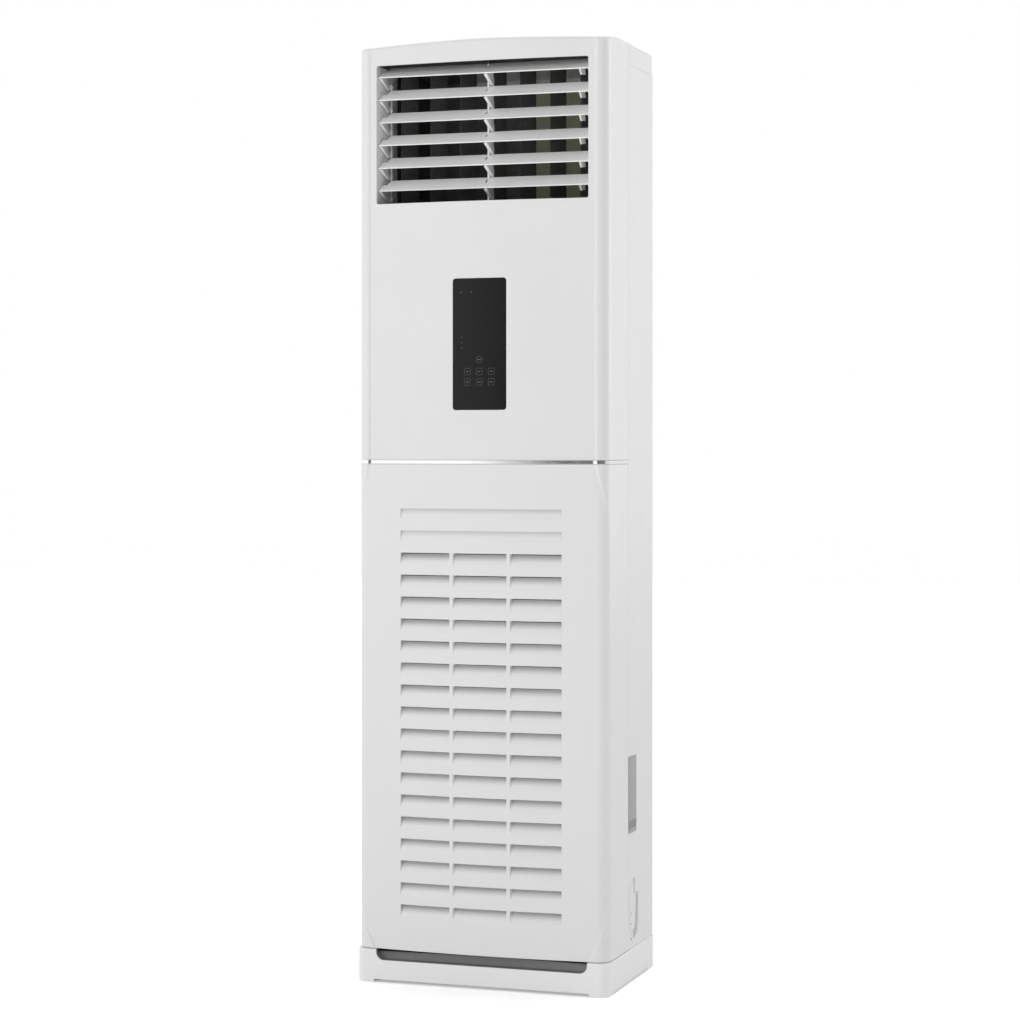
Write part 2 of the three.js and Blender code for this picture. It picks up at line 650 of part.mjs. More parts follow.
// The oval of the pipe cover, drawn as Y and Z.
function pipeCoverOutline(clearance) {
  return roundedRectangle(PIPE_COVER_Y[0] - clearance, PIPE_COVER_Y[1] + clearance,
    PIPE_COVER_Z[0] - clearance, PIPE_COVER_Z[1] + clearance, PIPE_COVER_RADIUS + clearance);
}

// The right side panel: an outer face behind the front panels and an inner frame inside them.
function sidePanel() {
  const [bottom, top] = [BASE_HEIGHT + GAP, COVER_BOTTOM - GAP];
  const outerY = PANEL_BACK_Y + GAP;
  const rearY = BACK_PANEL_Y - SHEET - GAP;
  const innerX = INNER_WALL_X;
  let panel = join(
    block(HALF_BODY - SHEET, HALF_BODY, outerY, BACK_Y, bottom, top),
    block(innerX, HALF_BODY, outerY, outerY + SHEET, bottom, top),
    block(innerX, innerX + SHEET, FRAME_Y, outerY + SHEET, bottom, top),
    block(innerX + SHEET - FRAME_FLANGE, innerX + SHEET, FRAME_Y, FRAME_Y + SHEET, bottom, top),
    block(HALF_BODY - REAR_FLANGE, HALF_BODY, rearY - SHEET, rearY, bottom, top));
  const recessY = FRONT_Y + RECESS_SETBACK;
  panel = cut(panel,
    block(HALF_BODY - RECESS_DEPTH - 4, innerX + SHEET + 1, FRAME_Y - 1, recessY + RECESS_LENGTH + 4,
      RECESS_BOTTOM - 4, RECESS_BOTTOM + RECESS_HEIGHT + 4),
    solid(extrudeX(pipeCoverOutline(GAP), HALF_BODY - SHEET - 1, HALF_BODY + 1)));
  for (const z of [...LOWER_CLIPS, ...UPPER_CLIPS]) {
    panel = cut(panel, rodY(CLIP_RADIUS + GAP, FRAME_Y - 1, FRAME_Y + SHEET + 1, CLIP_X, z));
  }
  return panel;
}

function pipeCover() {
  const cover = join(
    solid(extrudeX(pipeCoverOutline(0), HALF_BODY - SHEET - 1, HALF_BODY + 0.6)),
    solid(extrudeX(pipeCoverOutline(2.5), HALF_BODY - SHEET - GAP - 1.5, HALF_BODY - SHEET - GAP)));
  const pull = PIPE_COVER_Y[1] - 29;
  return cut(cover, block(HALF_BODY - 0.8, HALF_BODY + 2, pull - 1.2, pull + 1.2,
    PIPE_COVER_Z[0] + 5, PIPE_COVER_Z[1] - 35));
}

function ratingPlate() {
  return block(HALF_BODY + GAP, HALF_BODY + 0.9, PANEL_BACK_Y + 1, PANEL_BACK_Y + 51, 280, 424);
}

const GLAND_X = -180;
const GLAND_Z = 120;
const GLAND_RADIUS = 10;

function backPanel() {
  const panel = block(-HALF_BODY + SHEET + GAP, HALF_BODY - SHEET - GAP,
    BACK_PANEL_Y - SHEET, BACK_PANEL_Y, BASE_HEIGHT + GAP, COVER_BOTTOM - GAP);
  return cut(panel, rodY(GLAND_RADIUS + GAP, BACK_PANEL_Y - 5, BACK_PANEL_Y + 5, GLAND_X, GLAND_Z));
}

function cableGland() {
  const [inner, outer] = [BACK_PANEL_Y - SHEET - GAP, BACK_PANEL_Y + GAP];
  const gland = join(
    rodY(GLAND_RADIUS, inner - 8, outer + 1, GLAND_X, GLAND_Z),
    rodY(GLAND_RADIUS + 5, inner - 5, inner, GLAND_X, GLAND_Z, 6),
    rodY(GLAND_RADIUS + 5, outer, BACK_Y, GLAND_X, GLAND_Z));
  return cut(gland, rodY(GLAND_RADIUS - 4, inner - 9, BACK_Y + 1, GLAND_X, GLAND_Z));
}

function topCover() {
  const front = PANEL_BACK_Y + GAP;
  const outer = block(-HALF_BODY, HALF_BODY, front, BACK_Y, COVER_BOTTOM, HEIGHT);
  const hollow = block(-HALF_BODY + SHEET, HALF_BODY - SHEET,
    front - 1, BACK_Y - SHEET, COVER_BOTTOM - 1, HEIGHT - SHEET);
  return cut(outer, hollow);
}

// ---------------------------------------------------------------------------------------------
// Louvers, vanes and the frame that carries them

const LOUVER_HALF_WIDTH = OUTLET_HALF_WIDTH - 1.5;
const EAR = 2.5;
const HOOK_INSET = 19.5;
const LINK_X = -LOUVER_HALF_WIDTH + EAR + 0.5;

function louverFrontZ(number) {
  return OUTLET_TOP - LOUVER_TOP_DROP - (number - 1) * LOUVER_PITCH;
}

function louverPivotZ(number) {
  return louverFrontZ(number) - PIVOT_DROP;
}

function vaneX(number) {
  return (number - (VANES + 1) / 2) * VANE_PITCH;
}

// A point on the louver's underside, a share of its chord from the front edge, as Y and Z.
function chordPoint(number, along, up) {
  const [s, c] = [Math.sin(LOUVER_TILT * DEGREE), Math.cos(LOUVER_TILT * DEGREE)];
  const frontY = LOUVER_PIVOT_Y - PIVOT_BACK;
  return [frontY + along * c - up * s, louverFrontZ(number) + along * s + up * c];
}

function bladeSection(number, from, to) {
  return polygon(chordPoint(number, from, 0), chordPoint(number, to, 0),
    chordPoint(number, to, LOUVER_THICKNESS), chordPoint(number, from, LOUVER_THICKNESS));
}

// Room cut out of a blade behind a point of its chord, between x0 and x1.
function bladeNotch(number, from, x0, x1) {
  const reach = LOUVER_CHORD + 10;
  return solid(extrudeX(polygon(chordPoint(number, from, -12), chordPoint(number, reach, -12),
    chordPoint(number, reach, 12), chordPoint(number, from, 12)), x0, x1));
}

// One louver: a blade with three ears, a pin on each ear, a crank pin on the left ear and a small
// stiffening hook near the right end.
function louver(number) {
  const half = LOUVER_HALF_WIDTH;
  const [pivotY, pivotZ] = [LOUVER_PIVOT_Y, louverPivotZ(number)];
  const linkRoom = 27;
  const ear = (last) => polygon(chordPoint(number, 1, 0.5), [pivotY - 2, pivotZ - 3],
    [pivotY + 2, pivotZ - 3], [pivotY + 4, pivotZ + 4], chordPoint(number, last, 0.5));
  const plainEar = ear(LOUVER_CHORD - 4);
  const frontY = pivotY - PIVOT_BACK;
  const hook = polygon(chordPoint(number, 3, 0.5), [frontY + 14, pivotZ + PIVOT_DROP - 9],
    [frontY + 38, pivotZ + PIVOT_DROP - 6], chordPoint(number, LOUVER_CHORD - 6, 0.5));
  const crankEar = polygon([pivotY - 4, pivotZ - 2.5], [pivotY + CRANK_BACK + 2, pivotZ],
    [pivotY + CRANK_BACK + 2, pivotZ + CRANK_RISE + 3], [pivotY - 6, pivotZ + 10]);
  const blade = cut(solid(extrudeX(bladeSection(number, 0, LOUVER_CHORD), -half, half)),
    bladeNotch(number, 18, -4, 3.5), bladeNotch(number, linkRoom, -half - 1, LINK_X + 6));
  return join(blade,
    solid(extrudeX(ear(linkRoom - 2), -half, -half + EAR)), solid(extrudeX(crankEar, -half, -half + EAR)),
    solid(extrudeX(plainEar, 4, 4 + EAR)), solid(extrudeX(plainEar, half - EAR, half)),
    solid(extrudeX(hook, half - HOOK_INSET, half - HOOK_INSET + EAR)),
    rodX(PIN_RADIUS, -half - 3.5, -half + 1, pivotY, pivotZ),
    rodX(PIN_RADIUS, -2.5, 5, pivotY, pivotZ),
    rodX(PIN_RADIUS, half - 1, half + 3.5, pivotY, pivotZ),
    rodX(CRANK_RADIUS, -half + 1, LINK_X + 3, pivotY + CRANK_BACK, pivotZ + CRANK_RISE));
}

// The bar that joins the louvers' crank pins.
function louverLink() {
  const y = LOUVER_PIVOT_Y + CRANK_BACK;
  const [top, bottom] = [louverPivotZ(1) + CRANK_RISE, louverPivotZ(LOUVERS) + CRANK_RISE];
  let bar = block(LINK_X, LINK_X + 2, y - 3.5, y + 3.5, bottom - 5, top + 5);
  for (let number = 1; number <= LOUVERS; number += 1) {
    const z = louverPivotZ(number) + CRANK_RISE;
    bar = cut(bar, rodX(CRANK_RADIUS + PIN_CLEARANCE, LINK_X - 1, LINK_X + 3, y, z));
  }
  return bar;
}

const VANE_BOTTOM = OUTLET_BOTTOM + 10;
const VANE_TOP = OUTLET_CEILING - 1;
const VANE_CRANK = 18;

// A vane, straight across the outlet's depth before it is turned about its own pins.
function vane(number) {
  const half = VANE_CHORD / 2;
  const blade = polygon([-VANE_THICKNESS / 2, half], [-0.5, -half], [0.5, -half], [VANE_THICKNESS / 2, half]);
  const geometry = join(
    extrudeZ(blade, VANE_BOTTOM, VANE_TOP),
    rodZ(PIN_RADIUS, OUTLET_BOTTOM - 2, VANE_BOTTOM + 1, 0, 0, PIN_SIDES),
    rodZ(PIN_RADIUS, VANE_TOP - 1, OUTLET_CEILING + 2, 0, 0, PIN_SIDES),
    rodZ(CRANK_RADIUS, VANE_BOTTOM - 7, VANE_BOTTOM + 1, 0, VANE_CRANK, PIN_SIDES));
  return geometry.rotate([0, 0, -VANE_TURN]).translate([vaneX(number), VANE_PIVOT_Y, 0]);
}

function vaneCrank(number) {
  const turn = VANE_TURN * DEGREE;
  return [vaneX(number) + VANE_CRANK * Math.sin(turn), VANE_PIVOT_Y + VANE_CRANK * Math.cos(turn)];
}

function vaneLink() {
  const [first, y] = vaneCrank(1);
  const [last] = vaneCrank(VANES);
  const [z0, z1] = [VANE_BOTTOM - 5.5, VANE_BOTTOM - 3.5];
  let bar = block(first - 5, last + 5, y - 4, y + 4, z0, z1);
  for (let number = 1; number <= VANES; number += 1) {
    bar = cut(bar, rodZ(CRANK_RADIUS + PIN_CLEARANCE, z0 - 1, z1 + 1, vaneCrank(number)[0], y, PIN_SIDES));
  }
  return bar;
}

// The frame: four walls round the outlet, a centre rib, and lugs that hang it on the inner frame.
function louverFrame() {
  const wall = OUTLET_FRAME_WALL;
  const half = OUTLET_HALF_WIDTH;
  const [bottom, top] = [OUTLET_BOTTOM, OUTLET_CEILING];
  const room = frontSolid(PANEL_WALL + GAP, 0, bottom - 30, top + 20, OUTLET_FRAME_BACK);
  const walls = block(-half - wall, half + wall, FRONT_Y - 5, OUTLET_FRAME_BACK, bottom - wall, top + wall);
  let frame = walls.intersect(room);
  frame = cut(frame, block(-half, half, FRONT_Y - 6, OUTLET_FRAME_BACK + 1, bottom, top));
  frame = join(frame, block(-1.5, 1.5, LOUVER_PIVOT_Y - 13, LOUVER_PIVOT_Y + 13, bottom - 1, top + 1));
  for (const side of [-1, 1]) {
    for (const z of [bottom + 40, top - 60]) {
      const [near, far] = [half + 1, CLIP_X + 6];
      frame = join(frame, block(Math.min(side * near, side * far), Math.max(side * near, side * far),
        FRAME_Y - GAP - 2, FRAME_Y - GAP, z - 12, z + 12));
    }
  }
  const holes = [];
  const hole = PIN_RADIUS + PIN_CLEARANCE;
  for (let number = 1; number <= LOUVERS; number += 1) {
    const z = louverPivotZ(number);
    holes.push(rodX(hole, -half - wall - 1, -half + 1, LOUVER_PIVOT_Y, z));
    holes.push(rodX(hole, -3, 3, LOUVER_PIVOT_Y, z));
    holes.push(rodX(hole, half - 1, half + wall + 1, LOUVER_PIVOT_Y, z));
  }
  for (let number = 1; number <= VANES; number += 1) {
    const x = vaneX(number);
    holes.push(rodZ(hole, bottom - wall - 1, bottom + 1, x, VANE_PIVOT_Y, PIN_SIDES));
    holes.push(rodZ(hole, top - 1, top + wall + 1, x, VANE_PIVOT_Y, PIN_SIDES));
  }
  return cut(frame, ...holes);
}

function louverMotor() {
  const start = OUTLET_HALF_WIDTH + OUTLET_FRAME_WALL + GAP;
  const [y, z] = [LOUVER_PIVOT_Y, louverPivotZ(1)];
  return join(
    rodX(MOTOR_RADIUS, start, start + MOTOR_LENGTH, y, z, 20),
    block(start, start + 1, y - 22, y + 22, z - 4, z + 4),
    rodX(PIN_RADIUS, LOUVER_HALF_WIDTH + 3.5 + GAP, start + 1, y, z, PIN_SIDES));
}

function vaneMotor() {
  const start = OUTLET_CEILING + OUTLET_FRAME_WALL + GAP;
  const middle = (VANES + 1) / 2;
  const [x, y] = [vaneX(middle), VANE_PIVOT_Y];
  return join(
    rodZ(MOTOR_RADIUS, start, start + MOTOR_LENGTH, x, y, 20),
    block(x - 22, x + 22, y - 4, y + 4, start, start + 1),
    rodZ(PIN_RADIUS, OUTLET_CEILING + 2 + GAP, start + 1, x, y, PIN_SIDES));
}

// The duct between the coil space and the louver frame, open below and in front.
function outletDuct() {
  const [half, wall] = [OUTLET_HALF_WIDTH + OUTLET_FRAME_WALL, 8];
  const front = OUTLET_FRAME_BACK + GAP;
  const back = BACK_PANEL_Y - 2 * SHEET - 2 * GAP;
  const top = OUTLET_CEILING + OUTLET_FRAME_WALL;
  const outer = block(-half, half, front, back, CHAMBER_TOP + GAP, top);
  return cut(outer, block(-half + wall, half - wall, front - 1, back - wall, CHAMBER_TOP - 1, top - wall));
}

// ---------------------------------------------------------------------------------------------
// Fan

// The scroll, seen from the front: a widening spiral that runs out into a duct at its top.
function scrollOutline(wall, top) {
  const points = [];
  const steps = 22;
  const left = SCROLL_START_RADIUS * Math.cos(SCROLL_START_ANGLE * DEGREE);
  points.push(new THREE.Vector2(SCROLL_END_RADIUS + wall, top));
  points.push(new THREE.Vector2(left - wall, top));
  for (let i = 0; i <= steps; i += 1) {
    const share = i / steps;
    const angle = (SCROLL_START_ANGLE + share * (360 - SCROLL_START_ANGLE)) * DEGREE;
    const radius = SCROLL_START_RADIUS + share * (SCROLL_END_RADIUS - SCROLL_START_RADIUS) + wall;
    const x = i === 0 ? left - wall : radius * Math.cos(angle);
    points.push(new THREE.Vector2(x, FAN_HEIGHT + radius * Math.sin(angle)));
  }
  return new THREE.Shape(points);
}

function scrollHousing() {
  const sheet = 1.6;
  const top = SHELF_HEIGHT - SHEET - GAP;
  const shell = extrudeY(scrollOutline(sheet, top), HOUSING_FRONT, HOUSING_BACK);
  const inside = extrudeY(scrollOutline(0, top + 5), HOUSING_FRONT + sheet, HOUSING_BACK - sheet);
  const plate = block(-SPREAD_X, SPREAD_X, HOUSING_FRONT, HOUSING_FRONT + sheet, BASE_HEIGHT + GAP, top);
  const rearLegs = [-1, 1].map((side) => block(side * 90 - 12, side * 90 + 12,
    HOUSING_BACK - sheet, HOUSING_BACK, BASE_HEIGHT + GAP, FAN_HEIGHT - FAN_RADIUS));
  return cut(join(shell, plate, ...rearLegs), inside,
    rodY(FAN_EYE_RADIUS - 6, HOUSING_FRONT - 1, HOUSING_FRONT + sheet + 1, 0, FAN_HEIGHT, 32),
    rodY(34, HOUSING_BACK - sheet - 1, HOUSING_BACK + 1, 0, FAN_HEIGHT, 24));
}

function ring(profile, y, sides) {
  const geometry = new THREE.LatheGeometry(profile.map(([r, h]) => new THREE.Vector2(r, h)), sides);
  return solid(geometry.translate(0, y, FAN_HEIGHT));
}

// The bell mouth in front of the fan's eye.
function inletRing() {
  const eye = FAN_EYE_RADIUS - 14;
  return ring([[eye + 30, -GAP], [eye + 6, -GAP], [eye, 4], [eye, 8], [eye - 2, 8], [eye - 2, 4],
    [eye + 4, -GAP - 4], [eye + 12, -GAP - 6], [eye + 30, -GAP - 2], [eye + 30, -GAP]], HOUSING_FRONT, 28);
}

const FAN_FRONT = HOUSING_FRONT + 12;

function fanImpeller() {
  const [front, back] = [FAN_FRONT, FAN_FRONT + FAN_WIDTH];
  const disc = rodY(FAN_RADIUS, back - 3, back, 0, FAN_HEIGHT, 32);
  const hub = rodY(20, back - 40, back, 0, FAN_HEIGHT, 16);
  const rim = cut(rodY(FAN_RADIUS, front, front + 4, 0, FAN_HEIGHT, 32),
    rodY(FAN_EYE_RADIUS, front - 1, front + 5, 0, FAN_HEIGHT, 32));
  const chord = (FAN_RADIUS - FAN_EYE_RADIUS) * 1.05;
  const blades = [];
  for (let i = 0; i < FAN_BLADES; i += 1) {
    const blade = new THREE.BoxGeometry(chord, FAN_WIDTH - 3, 2);
    blade.rotateY(38 * DEGREE).translate((FAN_RADIUS + FAN_EYE_RADIUS) / 2, (front + back) / 2, 0);
    blades.push(solid(blade.rotateY((i / FAN_BLADES) * 2 * Math.PI).translate(0, 0, FAN_HEIGHT)));
  }
  const whole = join(disc, hub, rim, ...blades);
  return cut(whole, rodY(SHAFT_RADIUS + GAP, front - 1, back + 1, 0, FAN_HEIGHT));
}

const NUT_LENGTH = 8;
const HUB_FRONT = FAN_FRONT + FAN_WIDTH - 40;
const BRACKET_FRONT = HOUSING_BACK + GAP;
const FAN_MOTOR_FRONT = BRACKET_FRONT + 3 + GAP;

function fanShaft() {
  return rodY(SHAFT_RADIUS, HUB_FRONT - NUT_LENGTH - 6, FAN_MOTOR_FRONT + 12, 0, FAN_HEIGHT);
}

function fanNut() {
  const nut = rodY(10, HUB_FRONT - GAP - NUT_LENGTH, HUB_FRONT - GAP, 0, FAN_HEIGHT, 6);
  return cut(nut, rodY(SHAFT_RADIUS + GAP, HUB_FRONT - NUT_LENGTH - 2, HUB_FRONT, 0, FAN_HEIGHT));
}

function motorBracket() {
  const half = 95;
  const plate = block(-half, half, BRACKET_FRONT, BRACKET_FRONT + 3, FAN_HEIGHT - half, FAN_HEIGHT + half);
  return cut(plate, rodY(24, BRACKET_FRONT - 1, BRACKET_FRONT + 4, 0, FAN_HEIGHT, 32));
}

function fanMotor() {
  const front = FAN_MOTOR_FRONT;
  const body = join(
    rodY(FAN_MOTOR_RADIUS - 6, front, front + FAN_MOTOR_LENGTH, 0, FAN_HEIGHT, 24),
    rodY(FAN_MOTOR_RADIUS, front + 6, front + FAN_MOTOR_LENGTH - 6, 0, FAN_HEIGHT, 24),
    rodY(20, front - 5, front + 1, 0, FAN_HEIGHT, 16));
  return cut(body, rodY(SHAFT_RADIUS + GAP, front - 6, front + 12 + GAP, 0, FAN_HEIGHT));
}

// ---------------------------------------------------------------------------------------------
// Coil space

const SUCTION_DOWN = [HALF_BODY - 21, BACK_Y - 73];
const LIQUID_DOWN = [HALF_BODY - 21, BACK_Y - 49];
const SUCTION_PORT = COIL_TOP - 232.7;
const LIQUID_PORT = COIL_TOP - 112.7;
const HOSE_DOWN = [-HALF_BODY + 29, COVER_Y + 39];

function dividerShelf() {
  const [back, bottom] = [BACK_PANEL_Y - 2 * SHEET - 2 * GAP, SHELF_HEIGHT - SHEET];
  const left = SCROLL_START_RADIUS * Math.cos(SCROLL_START_ANGLE * DEGREE);
  const shelf = block(-SPREAD_X, SPREAD_X, COVER_Y - 12, back, bottom, SHELF_HEIGHT);
  const through = (radius, [x, y]) => rodZ(radius + 3, bottom - 1, SHELF_HEIGHT + 1, x, y);
  return cut(shelf,
    block(left + 2, SCROLL_END_RADIUS - 2, HOUSING_FRONT + 3, HOUSING_BACK - 3, bottom - 1, SHELF_HEIGHT + 1),
    through(SUCTION_RADIUS, SUCTION_DOWN), through(LIQUID_RADIUS, LIQUID_DOWN),
    through(HOSE_RADIUS, HOSE_DOWN));
}

// The upright plate in front of the coil, notched round the finger recesses.
function coilCover() {
  const plate = block(-SPREAD_X, SPREAD_X, COVER_Y, COVER_Y + SHEET, SHELF_HEIGHT + GAP, CHAMBER_TOP);
  const notch = block(HALF_BODY - RECESS_DEPTH - 4, HALF_BODY, COVER_Y - 1, COVER_Y + SHEET + 1,
    RECESS_BOTTOM - 4, RECESS_BOTTOM + RECESS_HEIGHT + 4);
  return cut(plate, notch, notch.mirror([1, 0, 0]));
}

function drainPan() {
  const wall = PAN_WALL;
  const half = SPREAD_X - 2;
  const front = COVER_Y + SHEET + GAP;
  const pan = block(-half, half, front, front + PAN_DEPTH, PAN_BOTTOM, PAN_BOTTOM + PAN_WALL_HEIGHT);
  const spout = rodZ(HOSE_RADIUS + 1, PAN_BOTTOM - 8, PAN_BOTTOM + 1, ...HOSE_DOWN);
  return cut(join(pan, spout),
    block(-half + wall, half - wall, front + wall, front + PAN_DEPTH - wall,
      PAN_BOTTOM + wall, PAN_BOTTOM + PAN_WALL_HEIGHT + 1),
    rodZ(HOSE_RADIUS - 3, PAN_BOTTOM - 9, PAN_BOTTOM + 3, ...HOSE_DOWN));
}

// Turns a box that stands upright about the coil's middle into the coil's leaning place.
function leaning(x0, x1, y0, y1, z0, z1) {
  const upright = block(x0, x1, y0, y1, z0, z1);
  return upright.rotate([-COIL_LEAN, 0, 0]).translate([0, COIL_CENTRE_Y, COIL_CENTRE_Z]);
}

function evaporatorCore() {
  const [half, depth] = [COIL_LENGTH / 2, COIL_DEPTH / 2];
  let core = leaning(-COIL_HALF_WIDTH, COIL_HALF_WIDTH, -depth, depth, -half, half);
  const grooves = 11;
  for (let i = 0; i < grooves; i += 1) {
    const x = (i - (grooves - 1) / 2) * (2 * COIL_HALF_WIDTH / grooves);
    core = cut(core, leaning(x - 1, x + 1, -depth - 1, -depth + 3, -half - 1, half + 1));
  }
  return core;
}

function coilEnd(side) {
  const [half, depth] = [COIL_LENGTH / 2, COIL_DEPTH / 2 + 3];
  const near = COIL_HALF_WIDTH + GAP;
  const plate = leaning(near, near + SHEET, -depth, depth, -half - 60, half);
  const flange = leaning(near, SPREAD_X, -depth, -depth + SHEET, -half - 60, half);
  const panFloor = block(0, HALF_BODY, FRONT_Y, BACK_Y, 0, PAN_BOTTOM + PAN_WALL + GAP);
  const panWall = block(SPREAD_X - 8, HALF_BODY, FRONT_Y, BACK_Y, 0, PAN_BOTTOM + PAN_WALL_HEIGHT + 1);
  const end = cut(join(plate, flange), panFloor, panWall);
  return mirrored(end, side);
}

// The height on the coil's end, and how far back its middle is there.
function coilMiddle(z) {
  return COIL_CENTRE_Y + (z - COIL_CENTRE_Z) * Math.tan(COIL_LEAN * DEGREE);
}

// A pipe from a port on the coil's end, down the right side and forward to the pipe cover.
function coilPipe(port, [x, y], foot, radius) {
  const start = COIL_HALF_WIDTH + 2 * GAP + SHEET;
  const middle = coilMiddle(port);
  return tubeAlong([[start, middle, port], [start + 8, middle, port], [x - 3, y - 2, port - 6],
    [x, y, port - 34], [x, y, (port + foot) / 2], [x, y, foot + 50], [x, y - 9, foot + 10],
    [x, y - 34, foot]], radius, 24);
}

function drainHose() {
  const [x, y] = HOSE_DOWN;
  const top = PAN_BOTTOM - 8 - GAP;
  return tubeAlong([[x, y, top], [x, y, top - 60], [x, y, 260], [x, y, 140], [x, y + 14, 100],
    [x, y + 50, 82], [x, y + 120, 76]], HOSE_RADIUS, 20);
}

// ---------------------------------------------------------------------------------------------
// Electrical box

const BOX_BACK = COVER_Y - GAP;
const BOX_FRONT = BOX_BACK - BOX_DEPTH;
const BOX_WALL = 1.5;
const BOARD_Y = BOX_BACK - BOX_WALL - 10;

function electricalBox() {
  const [half, wall] = [BOX_HALF_WIDTH, BOX_WALL];
  const top = BOX_BOTTOM + BOX_HEIGHT;
  let box = cut(block(-half, half, BOX_FRONT, BOX_BACK, BOX_BOTTOM, top),
    block(-half + wall, half - wall, BOX_FRONT - 1, BOX_BACK - wall, BOX_BOTTOM + wall, top - wall));
  for (const x of [-half + 14, 40]) {
    for (const z of [BOX_BOTTOM + 22, top - 22]) {
      box = join(box, rodY(4, BOARD_Y, BOX_BACK - 1, x, z, 10));
    }
  }
  return cut(box, rodZ(9, BOX_BOTTOM - 1, BOX_BOTTOM + wall + 1, 100, BOX_BACK - 25));
}

function electricalBoxLid() {
  const front = BOX_FRONT - GAP - BOX_WALL;
  return block(-BOX_HALF_WIDTH, BOX_HALF_WIDTH, front, front + BOX_WALL, BOX_BOTTOM, BOX_BOTTOM + BOX_HEIGHT);
}

function controlBoard() {
  const [left, right] = [-BOX_HALF_WIDTH + 6, 48];
  const [bottom, top] = [BOX_BOTTOM + 12, BOX_BOTTOM + BOX_HEIGHT - 12];
  const front = BOARD_Y - GAP - BOARD_THICKNESS;
  let board = block(left, right, front, front + BOARD_THICKNESS, bottom, top);
  board = join(board,
    block(left + 12, left + 52, front - 28, front + 1, bottom + 20, bottom + 62),
    block(left + 70, left + 92, front - 16, front + 1, bottom + 20, bottom + 50),
    block(left + 110, left + 140, front - 3, front + 1, bottom + 100, bottom + 130),
    rodY(12, front - 30, front + 1, left + 30, bottom + 110),
    rodY(8, front - 22, front + 1, left + 70, bottom + 190));
  for (let i = 0; i < 4; i += 1) {
    const z = bottom + 30 + i * 50;
    board = join(board, block(right - 18, right - 6, front - 9, front + 1, z, z + 30));
  }
  return board;
}

function terminalBlock() {
  const [back, front] = [BOX_BACK - BOX_WALL - GAP, BOX_BACK - 22];
  const [left, right] = [66, 134];
  const [bottom, top] = [BOX_BOTTOM + 60, BOX_BOTTOM + 90];
  let terminals = block(left, right, front, back, bottom, top);
  for (let i = 0; i < 6; i += 1) {
    const x = left + 4 + i * 10.5;
    terminals = cut(terminals, block(x, x + 8, front - 1, front + 8, bottom + 4, top - 4));
  }
  return terminals;
}

// ---------------------------------------------------------------------------------------------
// Assembly

const airConditioner = new THREE.Group();

function place(name, piece, finish) {
  const mesh = piece.getMesh();
  const geometry = new THREE.BufferGeometry();
  geometry.setAttribute('position', new THREE.BufferAttribute(mesh.vertProperties, 3));
  geometry.setIndex(new THREE.BufferAttribute(mesh.triVerts, 1));
  geometry.computeVertexNormals();
  const part = new THREE.Mesh(geometry, finish.clone());
  part.name = name;
  airConditioner.add(part);
}

place('base_plinth', basePlinth(), BASE_WHITE);
for (const [corner, x, y] of feetPlaces()) place(`foot_${corner}`, levellingFoot(x, y), RUBBER);
place('lower_front_panel', lowerFrontPanel(), WHITE);
place('air_filter', airFilter(), MESH_GREY);
place('trim_strip', trimStrip(), CHROME);
place('upper_front_panel', upperFrontPanel(), WHITE);
place('display_window', displayWindow(), BLACK_GLASS);
place('display_board', displayBoard(), BOARD_GREEN);

place('side_panel_right', sidePanel(), PAINTED);
place('side_panel_left', sidePanel().mirror([1, 0, 0]), PAINTED);
place('pipe_cover_right', pipeCover(), WHITE);
place('pipe_cover_left', pipeCover().mirror([1, 0, 0]), WHITE);
place('rating_plate', ratingPlate(), PLATE_GREY);
place('back_panel', backPanel(), PAINTED);
place('cable_gland', cableGland(), BLACK_PLASTIC);
place('top_cover', topCover(), PAINTED);

place('louver_frame', louverFrame(), GREY_PLASTIC);
for (let number = 1; number <= LOUVERS; number += 1) place(`louver_${number}`, louver(number), LOUVER_WHITE);
place('louver_link', louverLink(), LOUVER_WHITE);
place('louver_motor', louverMotor(), GREY_PLASTIC);
for (let number = 1; number <= VANES; number += 1) place(`vane_${number}`, vane(number), BLACK_PLASTIC);
place('vane_link', vaneLink(), BLACK_PLASTIC);
place('vane_motor', vaneMotor(), GREY_PLASTIC);
place('outlet_duct', outletDuct(), FOAM);

place('scroll_housing', scrollHousing(), GALVANISED);
place('inlet_ring', inletRing(), GALVANISED);
place('fan_impeller', fanImpeller(), GREY_PLASTIC);
place('fan_shaft', fanShaft(), STEEL);
place('fan_nut', fanNut(), STEEL);
place('motor_bracket', motorBracket(), GALVANISED);
place('fan_motor', fanMotor(), STEEL);

place('divider_shelf', dividerShelf(), GALVANISED);
place('coil_cover', coilCover(), GALVANISED);
place('drain_pan', drainPan(), FOAM);
place('drain_hose', drainHose(), HOSE_GREY);
place('evaporator_core', evaporatorCore(), ALUMINIUM);
place('coil_end_right', coilEnd(1), GALVANISED);
place('coil_end_left', coilEnd(-1), GALVANISED);
place('suction_pipe', coilPipe(SUCTION_PORT, SUCTION_DOWN, 152, SUCTION_RADIUS), COPPER);
place('liquid_pipe', coilPipe(LIQUID_PORT, LIQUID_DOWN, 104, LIQUID_RADIUS), COPPER);

place('electrical_box', electricalBox(), GALVANISED);
place('electrical_box_lid', electricalBoxLid(), GALVANISED);
place('control_board', controlBoard(), BOARD_GREEN);
place('terminal_block', terminalBlock(), BLACK_PLASTIC);

export default airConditioner;
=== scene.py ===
"""Looks of a floor standing air conditioner: a tall cabinet with louvers at the top, a display
below them and an air intake in the lower front panel. Lengths are in millimetres until a mesh is
made."""

import json
import math

import bmesh
import bpy
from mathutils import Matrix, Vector
from mathutils.geometry import delaunay_2d_cdt


